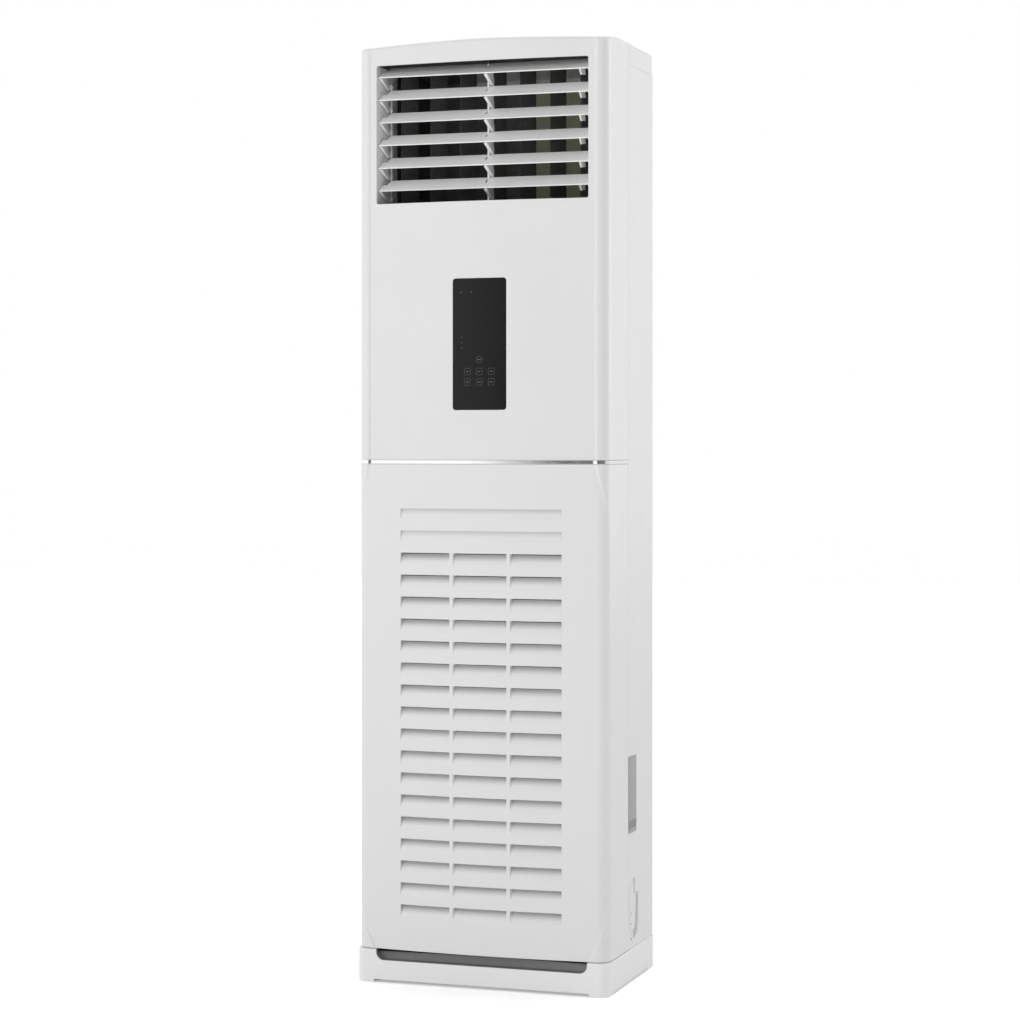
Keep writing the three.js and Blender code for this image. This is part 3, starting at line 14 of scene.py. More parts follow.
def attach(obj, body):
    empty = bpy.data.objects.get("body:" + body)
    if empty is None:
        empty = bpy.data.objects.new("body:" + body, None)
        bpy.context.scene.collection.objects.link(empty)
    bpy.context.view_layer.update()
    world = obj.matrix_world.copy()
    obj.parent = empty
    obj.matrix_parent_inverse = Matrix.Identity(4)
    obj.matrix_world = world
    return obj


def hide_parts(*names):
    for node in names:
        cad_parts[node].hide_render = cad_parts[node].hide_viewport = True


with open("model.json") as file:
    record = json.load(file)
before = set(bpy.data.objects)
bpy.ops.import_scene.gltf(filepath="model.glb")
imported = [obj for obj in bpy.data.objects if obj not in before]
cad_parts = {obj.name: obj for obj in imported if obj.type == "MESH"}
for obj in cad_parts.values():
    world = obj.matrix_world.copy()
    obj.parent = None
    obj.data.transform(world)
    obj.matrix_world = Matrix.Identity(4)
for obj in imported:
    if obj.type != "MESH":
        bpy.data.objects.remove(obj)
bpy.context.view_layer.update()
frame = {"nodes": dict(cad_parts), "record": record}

MM = 0.001
QUARTER = math.pi / 2
FAR = 9999
PROBE = 0.3
UP, BACKWARD = Vector((0, 0, 1)), Vector((0, 1, 0))

# ---- Camera ----


def add_camera():
    """The photograph's view: a level camera to the front right, with its frame shifted a little."""
    data = bpy.data.cameras.new("camera")
    data.sensor_width = 36
    data.lens = 90.697
    data.shift_y = -0.06238
    data.clip_end = 60
    camera = bpy.data.objects.new("camera", data)
    camera.location = (1.57548, -4.6494, 1.0072)
    camera.rotation_euler = (QUARTER, 0, 0.325267)
    bpy.context.scene.collection.objects.link(camera)
    bpy.context.scene.camera = camera


add_camera()

# ---- Sizes of the model ----

HEIGHT = 1766
FACE_Y, BACK_Y = -156.2, 157
HALF_BODY = 246
BOW_RADIUS = 2250
PILLAR_RADIUS = 24
PILLAR_RISE = 2
PANEL_BACK_Y = -12
PANEL_WALL = 3
LOWER_BOTTOM, LOWER_TOP = 63, 974.1
TRIM_BOTTOM, TRIM_TOP = 974.4, 981.4
UPPER_BOTTOM = 981.7
FIELD_HALF_WIDTH = 222
OUTLET_HALF_WIDTH = 208
OUTLET_BOTTOM, OUTLET_TOP = 1463, 1722.5
DISPLAY_HALF_WIDTH = 52.5
DISPLAY_BOTTOM, DISPLAY_TOP = 1074.7, 1319.2
DISPLAY_RADIUS = 5.5
OUTLET_RADIUS = 3.5
OUTLET_EDGE, DISPLAY_EDGE = 1.5, 0.7
SHARP_ANGLE = math.radians(35)
WELD_WITHIN = 0.02
EDGE_ROUNDING = 0.6
THIN_EDGE_ROUNDING = 0.35

# ---- Meshes ----


class Skin:
    """Faces with a normal at each corner, joined where their points meet."""

    def __init__(self):
        self.points = []
        self.known = {}
        self.faces = []
        self.normals = []

    def point(self, place):
        key = tuple(round(c * 1000) for c in place)
        if key not in self.known:
            self.known[key] = len(self.points)
            self.points.append(tuple(c * MM for c in place))
        return self.known[key]

    def face(self, corners):
        """Adds a face of (place, normal) corners, turned so that it faces with its normals."""
        ids, kept = [], []
        for place, normal in corners:
            number = self.point(place)
            if number not in ids:
                ids.append(number)
                kept.append((place, normal))
        if len(ids) < 3:
            return
        facing = (kept[1][0] - kept[0][0]).cross(kept[2][0] - kept[0][0])
        if len(ids) == 4:
            facing += (kept[2][0] - kept[0][0]).cross(kept[3][0] - kept[0][0])
        if facing.dot(sum((n for _, n in kept), Vector())) < 0:
            ids.reverse()
            kept.reverse()
        self.faces.append(ids)
        self.normals.extend(n for _, n in kept)

    def strip(self, columns, closed=False):
        """Joins neighbouring columns of (place, normal) with faces."""
        pairs = list(zip(columns, columns[1:]))
        if closed:
            pairs.append((columns[-1], columns[0]))
        for left, right in pairs:
            for i in range(len(left) - 1):
                self.face([left[i], right[i], right[i + 1], left[i + 1]])

    def piece(self, name):
        mesh = bpy.data.meshes.new(name)
        mesh.from_pydata(self.points, [], self.faces)
        mesh.shade_smooth()
        mesh.normals_split_custom_set([tuple(n) for n in self.normals])
        return link(name, mesh)


def link(name, data):
    piece = bpy.data.objects.new(name, data)
    bpy.context.scene.collection.objects.link(piece)
    return piece


class Loop:
    """A closed outline with the box round it."""

    def __init__(self, points):
        self.points = [tuple(p) for p in points]
        self.sides = list(zip(self.points, self.points[1:] + self.points[:1]))
        xs, ys = zip(*self.points)
        self.box = (min(xs), max(xs), min(ys), max(ys))

    def boxes(self, point, room=0):
        x0, x1, y0, y1 = self.box
        return x0 - room <= point[0] <= x1 + room and y0 - room <= point[1] <= y1 + room

    def holds(self, point):
        if not self.boxes(point):
            return False
        x, y = point
        return sum((y0 > y) != (y1 > y) and x < (x1 - x0) * (y - y0) / (y1 - y0) + x0
                   for (x0, y0), (x1, y1) in self.sides) % 2 == 1

    def touches(self, point, room):
        if not self.boxes(point, room):
            return False
        place = Vector(point)
        for start, end in self.sides:
            start, along = Vector(start), Vector(end) - Vector(start)
            share = (place - start).dot(along) / max(along.length_squared, 1e-9)
            if (start + along * max(0, min(1, share)) - place).length < room:
                return True
        return False


def patch(skin, surface, outline, holes=(), lines=(), points=(), room=2.0, fixed=None):
    """Fills the outline, less its holes, with triangles on the surface. Lines are kept as edges,
    and points are used where they are clear of the outlines. `fixed` holds the places of outline
    points that another strip has settled."""
    outer, inner = Loop(outline), [Loop(hole) for hole in holes]
    places, edges = [], []
    for loop in [outer] + inner:
        first, count = len(places), len(loop.points)
        places.extend(loop.points)
        edges.extend((first + i, first + (i + 1) % count) for i in range(count))
    for line in lines:
        first = len(places)
        places.extend(tuple(p) for p in line)
        edges.extend((first + i, first + i + 1) for i in range(len(line) - 1))
    for point in points:
        if outer.holds(point) and not outer.touches(point, room):
            if not any(hole.holds(point) or hole.touches(point, room) for hole in inner):
                places.append(tuple(point))
    found, _, faces, *_ = delaunay_2d_cdt([Vector(p) for p in places], edges, [], 0, 1e-4)
    corners = []
    for found_at in found:
        place, normal = surface(*found_at)
        corners.append(((fixed or {}).get(mark_of(found_at), place), normal))
    for face in faces:
        middle = sum((found[i] for i in face), Vector((0, 0))) / len(face)
        if outer.holds(middle) and not any(hole.holds(middle) for hole in inner):
            skin.face([corners[i] for i in face])


def mark_of(place):
    return round(place[0], 2), round(place[1], 2)


def edge_frame(surface, u, z, du, dz, reach=0):
    """A place on the surface, some reach in from an edge, with its normal and the direction along
    the surface that leads out over the edge."""
    place, normal = surface(u + reach * du, z + reach * dz)
    further, _ = surface(u + (reach + PROBE) * du, z + (reach + PROBE) * dz)
    out = place - further
    return place, normal, (out - normal * out.dot(normal)).normalized()


def rim(skin, surface, border, radius, depth, closed=True, steps=4):
    """Rounds the edge of a patch and carries it inward to a depth under the surface. Radius and
    depth are numbers, or one for each point of the border. Returns where each point ends."""
    columns = []
    for i, (u, z, du, dz) in enumerate(border):
        curve = radius[i] if isinstance(radius, list) else radius
        end = depth[i] if isinstance(depth, list) else depth
        near_edge, normal, out = edge_frame(surface, u, z, du, dz, curve)
        column = []
        for step in range(steps + 1):
            angle = QUARTER * step / steps
            facing = normal * math.cos(angle) + out * math.sin(angle)
            column.append((near_edge + (facing - normal) * curve, facing))
        column.append((near_edge + out * curve - normal * max(end, curve), out))
        columns.append(column)
    skin.strip(columns, closed)
    return {mark_of(b): column[-1][0] for b, column in zip(border, columns)}


def inset(border, radius):
    if not isinstance(radius, list):
        radius = [radius] * len(border)
    return [(u + r * du, z + r * dz) for (u, z, du, dz), r in zip(border, radius)]


def plain(border):
    return [(u, z) for u, z, _, _ in border]


def sunk(surface, depth):
    """The far side of a wall: the surface moved inward, facing the other way."""
    def at(u, z):
        place, normal = surface(u, z)
        return place - normal * depth, -normal
    return at


def well(skin, surface, border, start, end):
    """Plain walls that lead inward from an edge between two depths."""
    columns, tops, bottoms = [], {}, {}
    for u, z, du, dz in border:
        place, normal, out = edge_frame(surface, u, z, du, dz)
        top, bottom = place - normal * start, place - normal * end
        columns.append([(top, out), (bottom, out)])
        tops[mark_of((u, z))], bottoms[mark_of((u, z))] = top, bottom
    skin.strip(columns, closed=True)
    return tops, bottoms


def lattice(across, up):
    return [(u, z) for u in across for z in up]


def spread(start, end, pitch):
    """Even steps from start to end, both included."""
    count = max(1, math.ceil(abs(end - start) / pitch))
    return [start + (end - start) * i / count for i in range(count + 1)]


def border_of(knots, across=(), up=(), closed=True, steps=5):
    """An edge with round corners as (x, z, dx, dz), where dx, dz leads into the material, which
    lies to the left. Knots are (x, z, radius). Level edges get points at the marks in `across`,
    and upright ones at those in `up`."""
    count = len(knots)
    border = []
    end = None
    for i in range(count + (1 if closed else 0)):
        x, z, radius = knots[i % count]
        here = Vector((x, z))
        ends_here = not closed and i in (0, count - 1)
        before = here - Vector(knots[(i - 1) % count][:2])
        after = Vector(knots[(i + 1) % count][:2]) - here
        if ends_here:
            before = after if i == 0 else before
            after = before
        before, after = before.normalized(), after.normalized()
        turn = math.atan2(before.x * after.y - before.y * after.x, before.dot(after))
        reach = radius * math.tan(abs(turn) / 2)
        start = here - before * reach
        left = Vector((-before.y, before.x))
        if end is not None:
            level = abs(start.x - end.x) > abs(start.y - end.y)
            axis, marks = (0, across) if level else (1, up)
            low, high = sorted((start[axis], end[axis]))
            for mark in sorted((m for m in marks if low + 0.2 < m < high - 0.2),
                               reverse=start[axis] < end[axis]):
                share = (mark - end[axis]) / (start[axis] - end[axis])
                place = end + (start - end) * share
                border.append((place.x, place.y, left.x, left.y))
        if closed and i == count:
            break
        side = 1 if turn > 0 else -1
        centre = start + left * (radius * side)
        bent = abs(turn) > 0.02
        count_here = steps if radius > 0 and bent else 0
        for step in range(count_here + 1):
            angle = turn * step / max(count_here, 1)
            c, s = math.cos(angle), math.sin(angle)
            facing = Vector((left.x * c - left.y * s, left.x * s + left.y * c))
            place = centre - facing * (radius * side)
            border.append((place.x, place.y, facing.x, facing.y))
        if radius == 0 and bent:
            border[-1] = (place.x, place.y, *(left + Vector((-after.y, after.x))).normalized())
        end = here + after * reach
    return border


def on_front(border):
    """The same edge with its X turned into steps round the bowed front."""
    return [(u_of_x(x), z, dx, dz) for x, z, dx, dz in border]


def box_knots(x0, x1, z0, z1, radius, hole=False):
    knots = [(x0, z0, radius), (x1, z0, radius), (x1, z1, radius), (x0, z1, radius)]
    return knots[::-1] if hole else knots


def soften(piece, width):
    """Joins a carried-over node's corners and rounds its sharp edges."""
    piece.modifiers.new("weld", "WELD").merge_threshold = WELD_WITHIN * MM
    flat = piece.modifiers.new("flat", "DECIMATE")
    flat.decimate_type = "DISSOLVE"
    flat.angle_limit = math.radians(1)
    bevel = piece.modifiers.new("edges", "BEVEL")
    bevel.width = width * MM
    bevel.segments = 2
    bevel.limit_method = "ANGLE"
    bevel.angle_limit = SHARP_ANGLE
    bevel.harden_normals = True
    bevel.miter_outer = "MITER_ARC"


# ---- Materials ----

WHITE = (0.77, 0.77, 0.765)
WHITE_ROUGHNESS, WHITE_CHANGE = 0.3, 0.015
# The panels' white made brighter: painted light on parts that sit in shade, the plinth and the
# outlet frame's front.
PAINTED_LIGHT_WHITE = (0.84, 0.84, 0.835)
DARK = (0.09, 0.09, 0.09)


class Tree:
    """A node tree, with short ways to fill it."""

    def __init__(self, owner):
        owner.use_nodes = True
        self.nodes, self.links = owner.node_tree.nodes, owner.node_tree.links

    def add(self, kind, **settings):
        node = self.nodes.new(kind)
        for key, value in settings.items():
            setattr(node, key, value)
        return node

    def join(self, start, end):
        self.links.new(start, end)

    def maths(self, operation, *values):
        node = self.add("ShaderNodeMath", operation=operation)
        for socket, value in zip(node.inputs, values):
            if isinstance(value, (int, float)):
                socket.default_value = value
            else:
                self.join(value, socket)
        return node.outputs[0]

    def ramp(self, value, low, high, start=0.3, end=0.7, **settings):
        """Carries a value that runs from start to end over to low to high."""
        node = self.add("ShaderNodeMapRange", **settings)
        for socket, number in {"From Min": start, "From Max": end, "To Min": low,
                               "To Max": high}.items():
            node.inputs[socket].default_value = number
        self.join(value, node.inputs["Value"])
        return node.outputs["Result"]

    def axes(self, place):
        """The X, Y and Z of a place."""
        split = self.add("ShaderNodeSeparateXYZ")
        self.join(place, split.inputs[0])
        return split.outputs


class Finish(Tree):
    """A material, with a Principled shader on its output."""

    def __init__(self, name, colour, roughness, metallic=0.0, specular=0.5):
        self.material = bpy.data.materials.new(name)
        super().__init__(self.material)
        self.shader = self.nodes["Principled BSDF"]
        self.shader.inputs["Base Color"].default_value = (*colour, 1)
        self.shader.inputs["Roughness"].default_value = roughness
        self.shader.inputs["Metallic"].default_value = metallic
        self.shader.inputs["Specular IOR Level"].default_value = specular
        self.colour = colour
        self.place = self.add("ShaderNodeTexCoord").outputs["Object"]

    def noise(self, size, detail=2.0, stretch=(1, 1, 1)):
        """Noise whose grains are about size millimetres across."""
        mapping = self.add("ShaderNodeMapping")
        mapping.inputs["Scale"].default_value = stretch
        self.join(self.place, mapping.inputs["Vector"])
        node = self.add("ShaderNodeTexNoise")
        node.inputs["Scale"].default_value = 1 / (size * MM)
        node.inputs["Detail"].default_value = detail
        self.join(mapping.outputs["Vector"], node.inputs["Vector"])
        return node.outputs["Fac"]

    def bump(self, value, height):
        """Raises the surface by up to height millimetres."""
        node = self.add("ShaderNodeBump")
        node.inputs["Strength"].default_value = 1
        node.inputs["Distance"].default_value = height * MM
        self.join(value, node.inputs["Height"])
        previous = self.shader.inputs["Normal"].links
        if previous:
            self.join(previous[0].from_socket, node.inputs["Normal"])
        self.join(node.outputs["Normal"], self.shader.inputs["Normal"])

    def roughen(self, value, low, high, *ends):
        self.join(self.ramp(value, low, high, *ends), self.shader.inputs["Roughness"])

    def shade(self, value, low):
        """Varies the colour from `low`, which is a colour or a share of its own, to itself."""
        node = self.add("ShaderNodeMix", data_type="RGBA")
        if isinstance(low, float):
            low = tuple(c * low for c in self.colour)
        node.inputs["A"].default_value = (*low, 1)
        node.inputs["B"].default_value = (*self.colour, 1)
        self.join(value, node.inputs["Factor"])
        self.join(node.outputs["Result"], self.shader.inputs["Base Color"])
        return node

    def cloud(self, size, detail, darkest):
        """Clouds of a shade a little darker than the colour."""
        self.shade(self.ramp(self.noise(size, detail), 0, 1), darkest)


def moulded(name, colour, roughness, grain=0.9, height=0.006, change=0.05, patches=170,
            specular=0.5):
    """Moulded plastic: a fine spark-eroded grain, and gloss that changes a little in patches."""
    finish = Finish(name, colour, roughness, specular=specular)
    finish.bump(finish.noise(grain, 1.5), height)
    finish.roughen(finish.noise(patches, 3), roughness - change, roughness + change)
    return finish


def plastic(*values, **more):
    """Moulded plastic with slight clouds in its colour too."""
    finish = moulded(*values, **more)
    finish.cloud(90, 2, 0.985)
    return finish.material


def coated_steel(name, colour, roughness):
    """Powder coated sheet: a fine orange peel over slight waves of the sheet."""
    finish = Finish(name, colour, roughness)
    finish.bump(finish.noise(1.6, 2), 0.012)
    finish.bump(finish.noise(140, 1), 0.12)
    finish.roughen(finish.noise(40, 3), roughness - 0.05, roughness + 0.06)
    finish.cloud(60, 2, 0.985)
    return finish.material


def bare_metal(name, colour, roughness, stretch=(1, 1, 1)):
    """Metal with a fine grain, brushed where the grain is stretched."""
    finish = Finish(name, colour, roughness, metallic=1.0)
    brushed = finish.noise(3, 4, stretch)
    finish.bump(brushed, 0.01)
    finish.roughen(brushed, roughness - 0.08, roughness + 0.1)
    finish.cloud(25, 3, 0.9)
    return finish.material


def galvanised(name, colour, roughness):
    """Zinc coated sheet with its spangle."""
    finish = Finish(name, colour, roughness, metallic=0.9)
    cells = finish.add("ShaderNodeTexVoronoi")
    cells.inputs["Scale"].default_value = 120
    finish.join(finish.place, cells.inputs["Vector"])
    finish.shade(finish.ramp(cells.outputs["Color"], 0, 1, 0, 1), 0.8)
    finish.roughen(cells.outputs["Color"], roughness - 0.1, roughness + 0.08, 0, 1)
    finish.bump(finish.noise(60, 1), 0.08)
    return finish.material


def zoned(name, colour, regions, roughness):
    """Moulded plastic with other colours in some zones. A zone gives the least and the greatest
    X, |X|, Y or Z in millimetres."""
    finish = moulded(name, colour, roughness, change=0.06, patches=60)
    axes = dict(finish.axes(finish.place).items())
    axes["|X|"] = finish.maths("ABSOLUTE", axes["X"])
    below = None
    for other, zones in regions:
        within = None
        for zone in zones:
            share = None
            for axis, (low, high) in zone.items():
                for edge, sign in ((low, 1), (high, -1)):
                    if abs(edge) < FAR:
                        soft = 0.3 * sign * MM
                        part = finish.ramp(axes[axis], 0, 1, edge * MM - soft, edge * MM + soft)
                        share = part if share is None else finish.maths("MULTIPLY", share, part)
            within = share if within is None else finish.maths("MAXIMUM", within, share)
        mix = finish.shade(finish.maths("SUBTRACT", 1, within), other)
        if below:
            finish.join(below, mix.inputs["B"])
        below = mix.outputs["Result"]
    return finish.material


def trim_finish(name):
    """Bright metal across the front, and the panels' white on the right corner and the sides."""
    finish = Finish(name, WHITE, 0.12)
    axes = finish.axes(finish.place)
    corner = finish.ramp(axes["X"], 0, 1, 237 * MM, 241 * MM)
    side = finish.maths("MAXIMUM", corner, finish.ramp(axes["Y"], 0, 1, -121 * MM, -116 * MM))
    finish.shade(side, (0.8, 0.8, 0.81))
    finish.join(finish.maths("SUBTRACT", 1, side), finish.shader.inputs["Metallic"])
    fine = finish.ramp(finish.noise(3, 4, (0.2, 0.2, 1)), -0.05, 0.06)
    level = finish.ramp(side, 0.12, 0.34, 0, 1)
    finish.join(finish.maths("ADD", level, fine), finish.shader.inputs["Roughness"])
    finish.bump(finish.noise(1, 2), 0.004)
    return finish.material


def grille_painted_shade_finish(name):
    """The panels' white with painted shade in the hollows of the grille, greyer where a hollow is
    deeper.
    """
    finish = moulded(name, WHITE, WHITE_ROUGHNESS, change=WHITE_CHANGE)
    hollow = finish.add("ShaderNodeAttribute", attribute_name="hollow").outputs["Fac"]
    finish.shade(finish.ramp(hollow, 1, 0, 0.25, 0.85), 0.62)
    return finish.material


FINISHES = [
    (plastic, "white_plastic", WHITE, WHITE_ROUGHNESS, 0.9, 0.006, WHITE_CHANGE),
    (plastic, "base_plastic", (0.72, 0.72, 0.715), 0.42, 1.1, 0.01),
    (coated_steel, "painted_steel", WHITE, 0.36),
    # The louvers' white is brighter than the panels': painted light standing in for the light their
    # shaded blades lack.
    (plastic, "louver_plastic", (0.93, 0.93, 0.925), 0.4),
    (plastic, "black_plastic", (0.085, 0.085, 0.085), 0.5),
    (plastic, "grey_plastic", (0.09, 0.094, 0.1), 0.5),
    (galvanised, "galvanised_steel", (0.42, 0.44, 0.45), 0.42),
    (bare_metal, "machined_steel", (0.5, 0.51, 0.52), 0.3, (1, 1, 6)),
    (bare_metal, "aluminium_fins", (0.72, 0.73, 0.74), 0.38, (1, 1, 0.1)),
    (bare_metal, "copper_pipe", (0.72, 0.36, 0.22), 0.3),
    (plastic, "foam", (0.85, 0.845, 0.82), 0.85, 4.0, 0.12),
    (plastic, "rubber", (0.03, 0.03, 0.032), 0.75, 1.5, 0.03),
    (plastic, "circuit_board", (0.02, 0.11, 0.05), 0.4),
    (plastic, "filter_mesh", (0.06, 0.065, 0.07), 0.6),
    (bare_metal, "plate_foil", (0.36, 0.36, 0.365), 0.45, (1, 1, 12)),
    (plastic, "hose_plastic", (0.5, 0.51, 0.52), 0.5),
    (trim_finish, "chrome_trim"),
]
MATERIALS = {name: make(name, *values) for make, name, *values in FINISHES}
MATERIALS["display_glass"] = plastic("display_glass", (0.004, 0.004, 0.004), 0.12, specular=0.22)
ZONED = {
    # The frame's front takes the brighter painted-light white.
    "louver_frame": zoned(
        "outlet_frame_plastic", PAINTED_LIGHT_WHITE,
        [(DARK, [{"Y": (-38, FAR)}, {"Z": (1723.2, FAR)}, {"Z": (-FAR, 1463.3)}])], 0.5),
    # Dark duct with painted light and reflection: lighter olive over its right half, and pale grey
    # at its top right where light falls in through the outlet.
    "outlet_duct": zoned(
        "duct_foam_painted_light", (0.12, 0.12, 0.115),
        [((0.42, 0.43, 0.3), [{"X": (-5, FAR)}]),
         ((0.75, 0.75, 0.75), [{"X": (-110, FAR), "Z": (1700, FAR)}])], 0.8),
    # The plinth takes the brighter painted-light white, and the pocket in its front slot is painted
    # dark grey as shade.
    "base_plinth": zoned(
        "base_plastic_painted_light_and_pocket_shade", PAINTED_LIGHT_WHITE,
        [((0.25, 0.25, 0.25), [{"|X|": (-FAR, 207.6), "Y": (-149.6, -120), "Z": (41.7, FAR)}])],
        0.42),
    "rating_plate": zoned(
        "rating_plate_foil", (0.34, 0.34, 0.345), [((0.2, 0.2, 0.205), [{"Z": (288, 304)}])], 0.4),
}


def dress(piece, slot, body="cabinet", stands_for=()):
    """Gives a new piece the material named by a slot and the body it rides on, and hides the nodes
    it stands for.
    """
    piece.data.materials.clear()
    piece.data.materials.append(MATERIALS[slot])
    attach(piece, body)
    if stands_for:
        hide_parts(*stands_for)
    return piece


def finish_nodes():
    """The carried-over nodes keep their shape and take the finish of their slot."""
    for part in frame["record"]["subparts"]:
        name = part["node"]
        finish = ZONED.get(name, MATERIALS[part["material_slot"]])
        for slot in frame["nodes"][name].material_slots:
            slot.material = finish


finish_nodes()

# ---- Stage ----

# The room's light by azimuth, in degrees from the front with the right side at 90: the azimuth, the
# strength, and the strength in reflections.
ROOM = [(-180, 1.15, 1.15), (-100, 1.15, 1.15), (-85, 1.06, 1.4), (-21, 1.06, 1.4),
        (-10, 0.44, 0.17), (85, 0.44, 0.17), (115, 1.62, 3.2), (140, 1.62, 3.2),
        (160, 1.15, 1.15), (180, 1.15, 1.15)]
ROOM_SCALE = 4
CEILING_SHARE = 0.75
FLOOR_HALF_WIDTH = 14
FLOOR_GLOW = 0.36
# Name, place, aim and size in metres, and power in watts
LAMPS = [("key", (0.6, -4.9, 2.3), (0, 0, 1.1), 2.4, 60),
         ("side", (-3.4, -3.6, 2.4), (0, 0, 0.9), 2.4, 9)]


def add_world():
    """A white room, dimmer in front of the object and to its right, brighter behind that."""
    world = bpy.data.worlds.new("studio")
    bpy.context.scene.world = world
    tree = Tree(world)

    def round_the_room(turn, column):
        node = tree.add("ShaderNodeValToRGB")
        elements = node.color_ramp.elements
        while len(elements) < len(ROOM):
            elements.new(0.5)
        for element, row in zip(elements, ROOM):
            element.position = row[0] / 360 + 0.5
            level = row[column] / ROOM_SCALE
            element.color = (level, level, level, 1)
        tree.join(turn, node.inputs["Fac"])
        return tree.maths("MULTIPLY", node.outputs["Color"], ROOM_SCALE)

    axes = tree.axes(tree.add("ShaderNodeTexCoord").outputs["Generated"])
    azimuth = tree.maths("ARCTAN2", axes["X"], tree.maths("MULTIPLY", axes["Y"], -1))
    turn = tree.maths("ADD", tree.maths("DIVIDE", azimuth, 2 * math.pi), 0.5)
    path = tree.add("ShaderNodeLightPath").outputs
    glossy, seen = path["Is Glossy Ray"], path["Is Camera Ray"]
    dull = tree.maths("MULTIPLY", round_the_room(turn, 1), tree.maths("SUBTRACT", 1, glossy))
    light = tree.maths("ADD", dull, tree.maths("MULTIPLY", round_the_room(turn, 2), glossy))
    ceiling = tree.ramp(axes["Z"], 1, CEILING_SHARE, 0.35, 0.85, interpolation_type="SMOOTHSTEP")
    light = tree.maths("MULTIPLY", light, ceiling)
    unseen = tree.maths("MULTIPLY", light, tree.maths("SUBTRACT", 1, seen))
    background = tree.nodes["Background"]
    background.inputs["Color"].default_value = (1, 1, 1, 1)
    tree.join(tree.maths("ADD", unseen, seen), background.inputs["Strength"])


def add_floor():
    """A pale floor, lifted to the background's white where the camera sees it."""
    mesh = bpy.data.meshes.new("floor")
    corners = [(x * FLOOR_HALF_WIDTH, y * FLOOR_HALF_WIDTH, 0)
               for x, y in ((-1, -1), (1, -1), (1, 1), (-1, 1))]
    mesh.from_pydata(corners, [], [(0, 1, 2, 3)])
    finish = Finish("floor", (0.9, 0.9, 0.9), 0.9)
    seen = finish.add("ShaderNodeLightPath").outputs["Is Camera Ray"]
    glow = finish.add("ShaderNodeEmission")
    finish.join(finish.maths("MULTIPLY", seen, FLOOR_GLOW), glow.inputs["Strength"])
    both = finish.add("ShaderNodeAddShader")
    finish.join(finish.shader.outputs[0], both.inputs[0])
    finish.join(glow.outputs[0], both.inputs[1])
    finish.join(both.outputs[0], finish.nodes["Material Output"].inputs["Surface"])
    mesh.materials.append(finish.material)
    link("floor", mesh)


def add_lamps():
    for name, place, aim, size, power in LAMPS:
        data = bpy.data.lights.new(name, "AREA")
        data.shape = "SQUARE"
        data.size = size
        data.energy = power
        lamp = link(name, data)
        lamp.location = place
        lamp.visible_glossy = False
        lamp.rotation_euler = (Vector(aim) - Vector(place)).to_track_quat("-Z", "Y").to_euler()


add_world()
add_floor()
add_lamps()
bpy.context.scene.view_settings.view_transform = "Standard"

# ---- The bowed front ----

LEAN = math.asin((HALF_BODY - PILLAR_RADIUS) / (BOW_RADIUS - PILLAR_RADIUS))
BOW_LENGTH = BOW_RADIUS * LEAN
CORNER_LENGTH = PILLAR_RADIUS * (QUARTER - LEAN)
BOW_CENTRE = FACE_Y + BOW_RADIUS
CORNER_X = HALF_BODY - PILLAR_RADIUS
CORNER_Y = BOW_CENTRE - (BOW_RADIUS - PILLAR_RADIUS) * math.cos(LEAN)
STEP_WIDTH = 6
ROOF_FROM, ROOF_STEP_RUN = 1738, 18
PANEL_EDGE = 0.6


def outline_at(u):
    """X and Y of the corner pillars' outline, u mm round from the middle."""
    side, run = (1 if u >= 0 else -1), abs(u)
    if run <= BOW_LENGTH:
        angle = run / BOW_RADIUS
        x, y = BOW_RADIUS * math.sin(angle), BOW_CENTRE - BOW_RADIUS * math.cos(angle)
    elif run <= BOW_LENGTH + CORNER_LENGTH:
        angle = LEAN + (run - BOW_LENGTH) / PILLAR_RADIUS
        x = CORNER_X + PILLAR_RADIUS * math.sin(angle)
        y = CORNER_Y - PILLAR_RADIUS * math.cos(angle)
    else:
        x, y = HALF_BODY, CORNER_Y + run - BOW_LENGTH - CORNER_LENGTH
    return side * x, y


def u_of_x(x):
    """Where the outline passes an X on its bowed front or round corner."""
    side, run = (1 if x >= 0 else -1), abs(x)
    if run <= BOW_RADIUS * math.sin(LEAN):
        return side * BOW_RADIUS * math.asin(run / BOW_RADIUS)
    angle = math.asin(min(1, (run - CORNER_X) / PILLAR_RADIUS))
    return side * (BOW_LENGTH + PILLAR_RADIUS * (angle - LEAN))


def u_of_y(y):
    """Where the outline passes a Y on its right side."""
    return BOW_LENGTH + CORNER_LENGTH + y - CORNER_Y


def eased(share):
    share = max(0.0, min(1.0, share))
    return share * share * (3 - 2 * share)


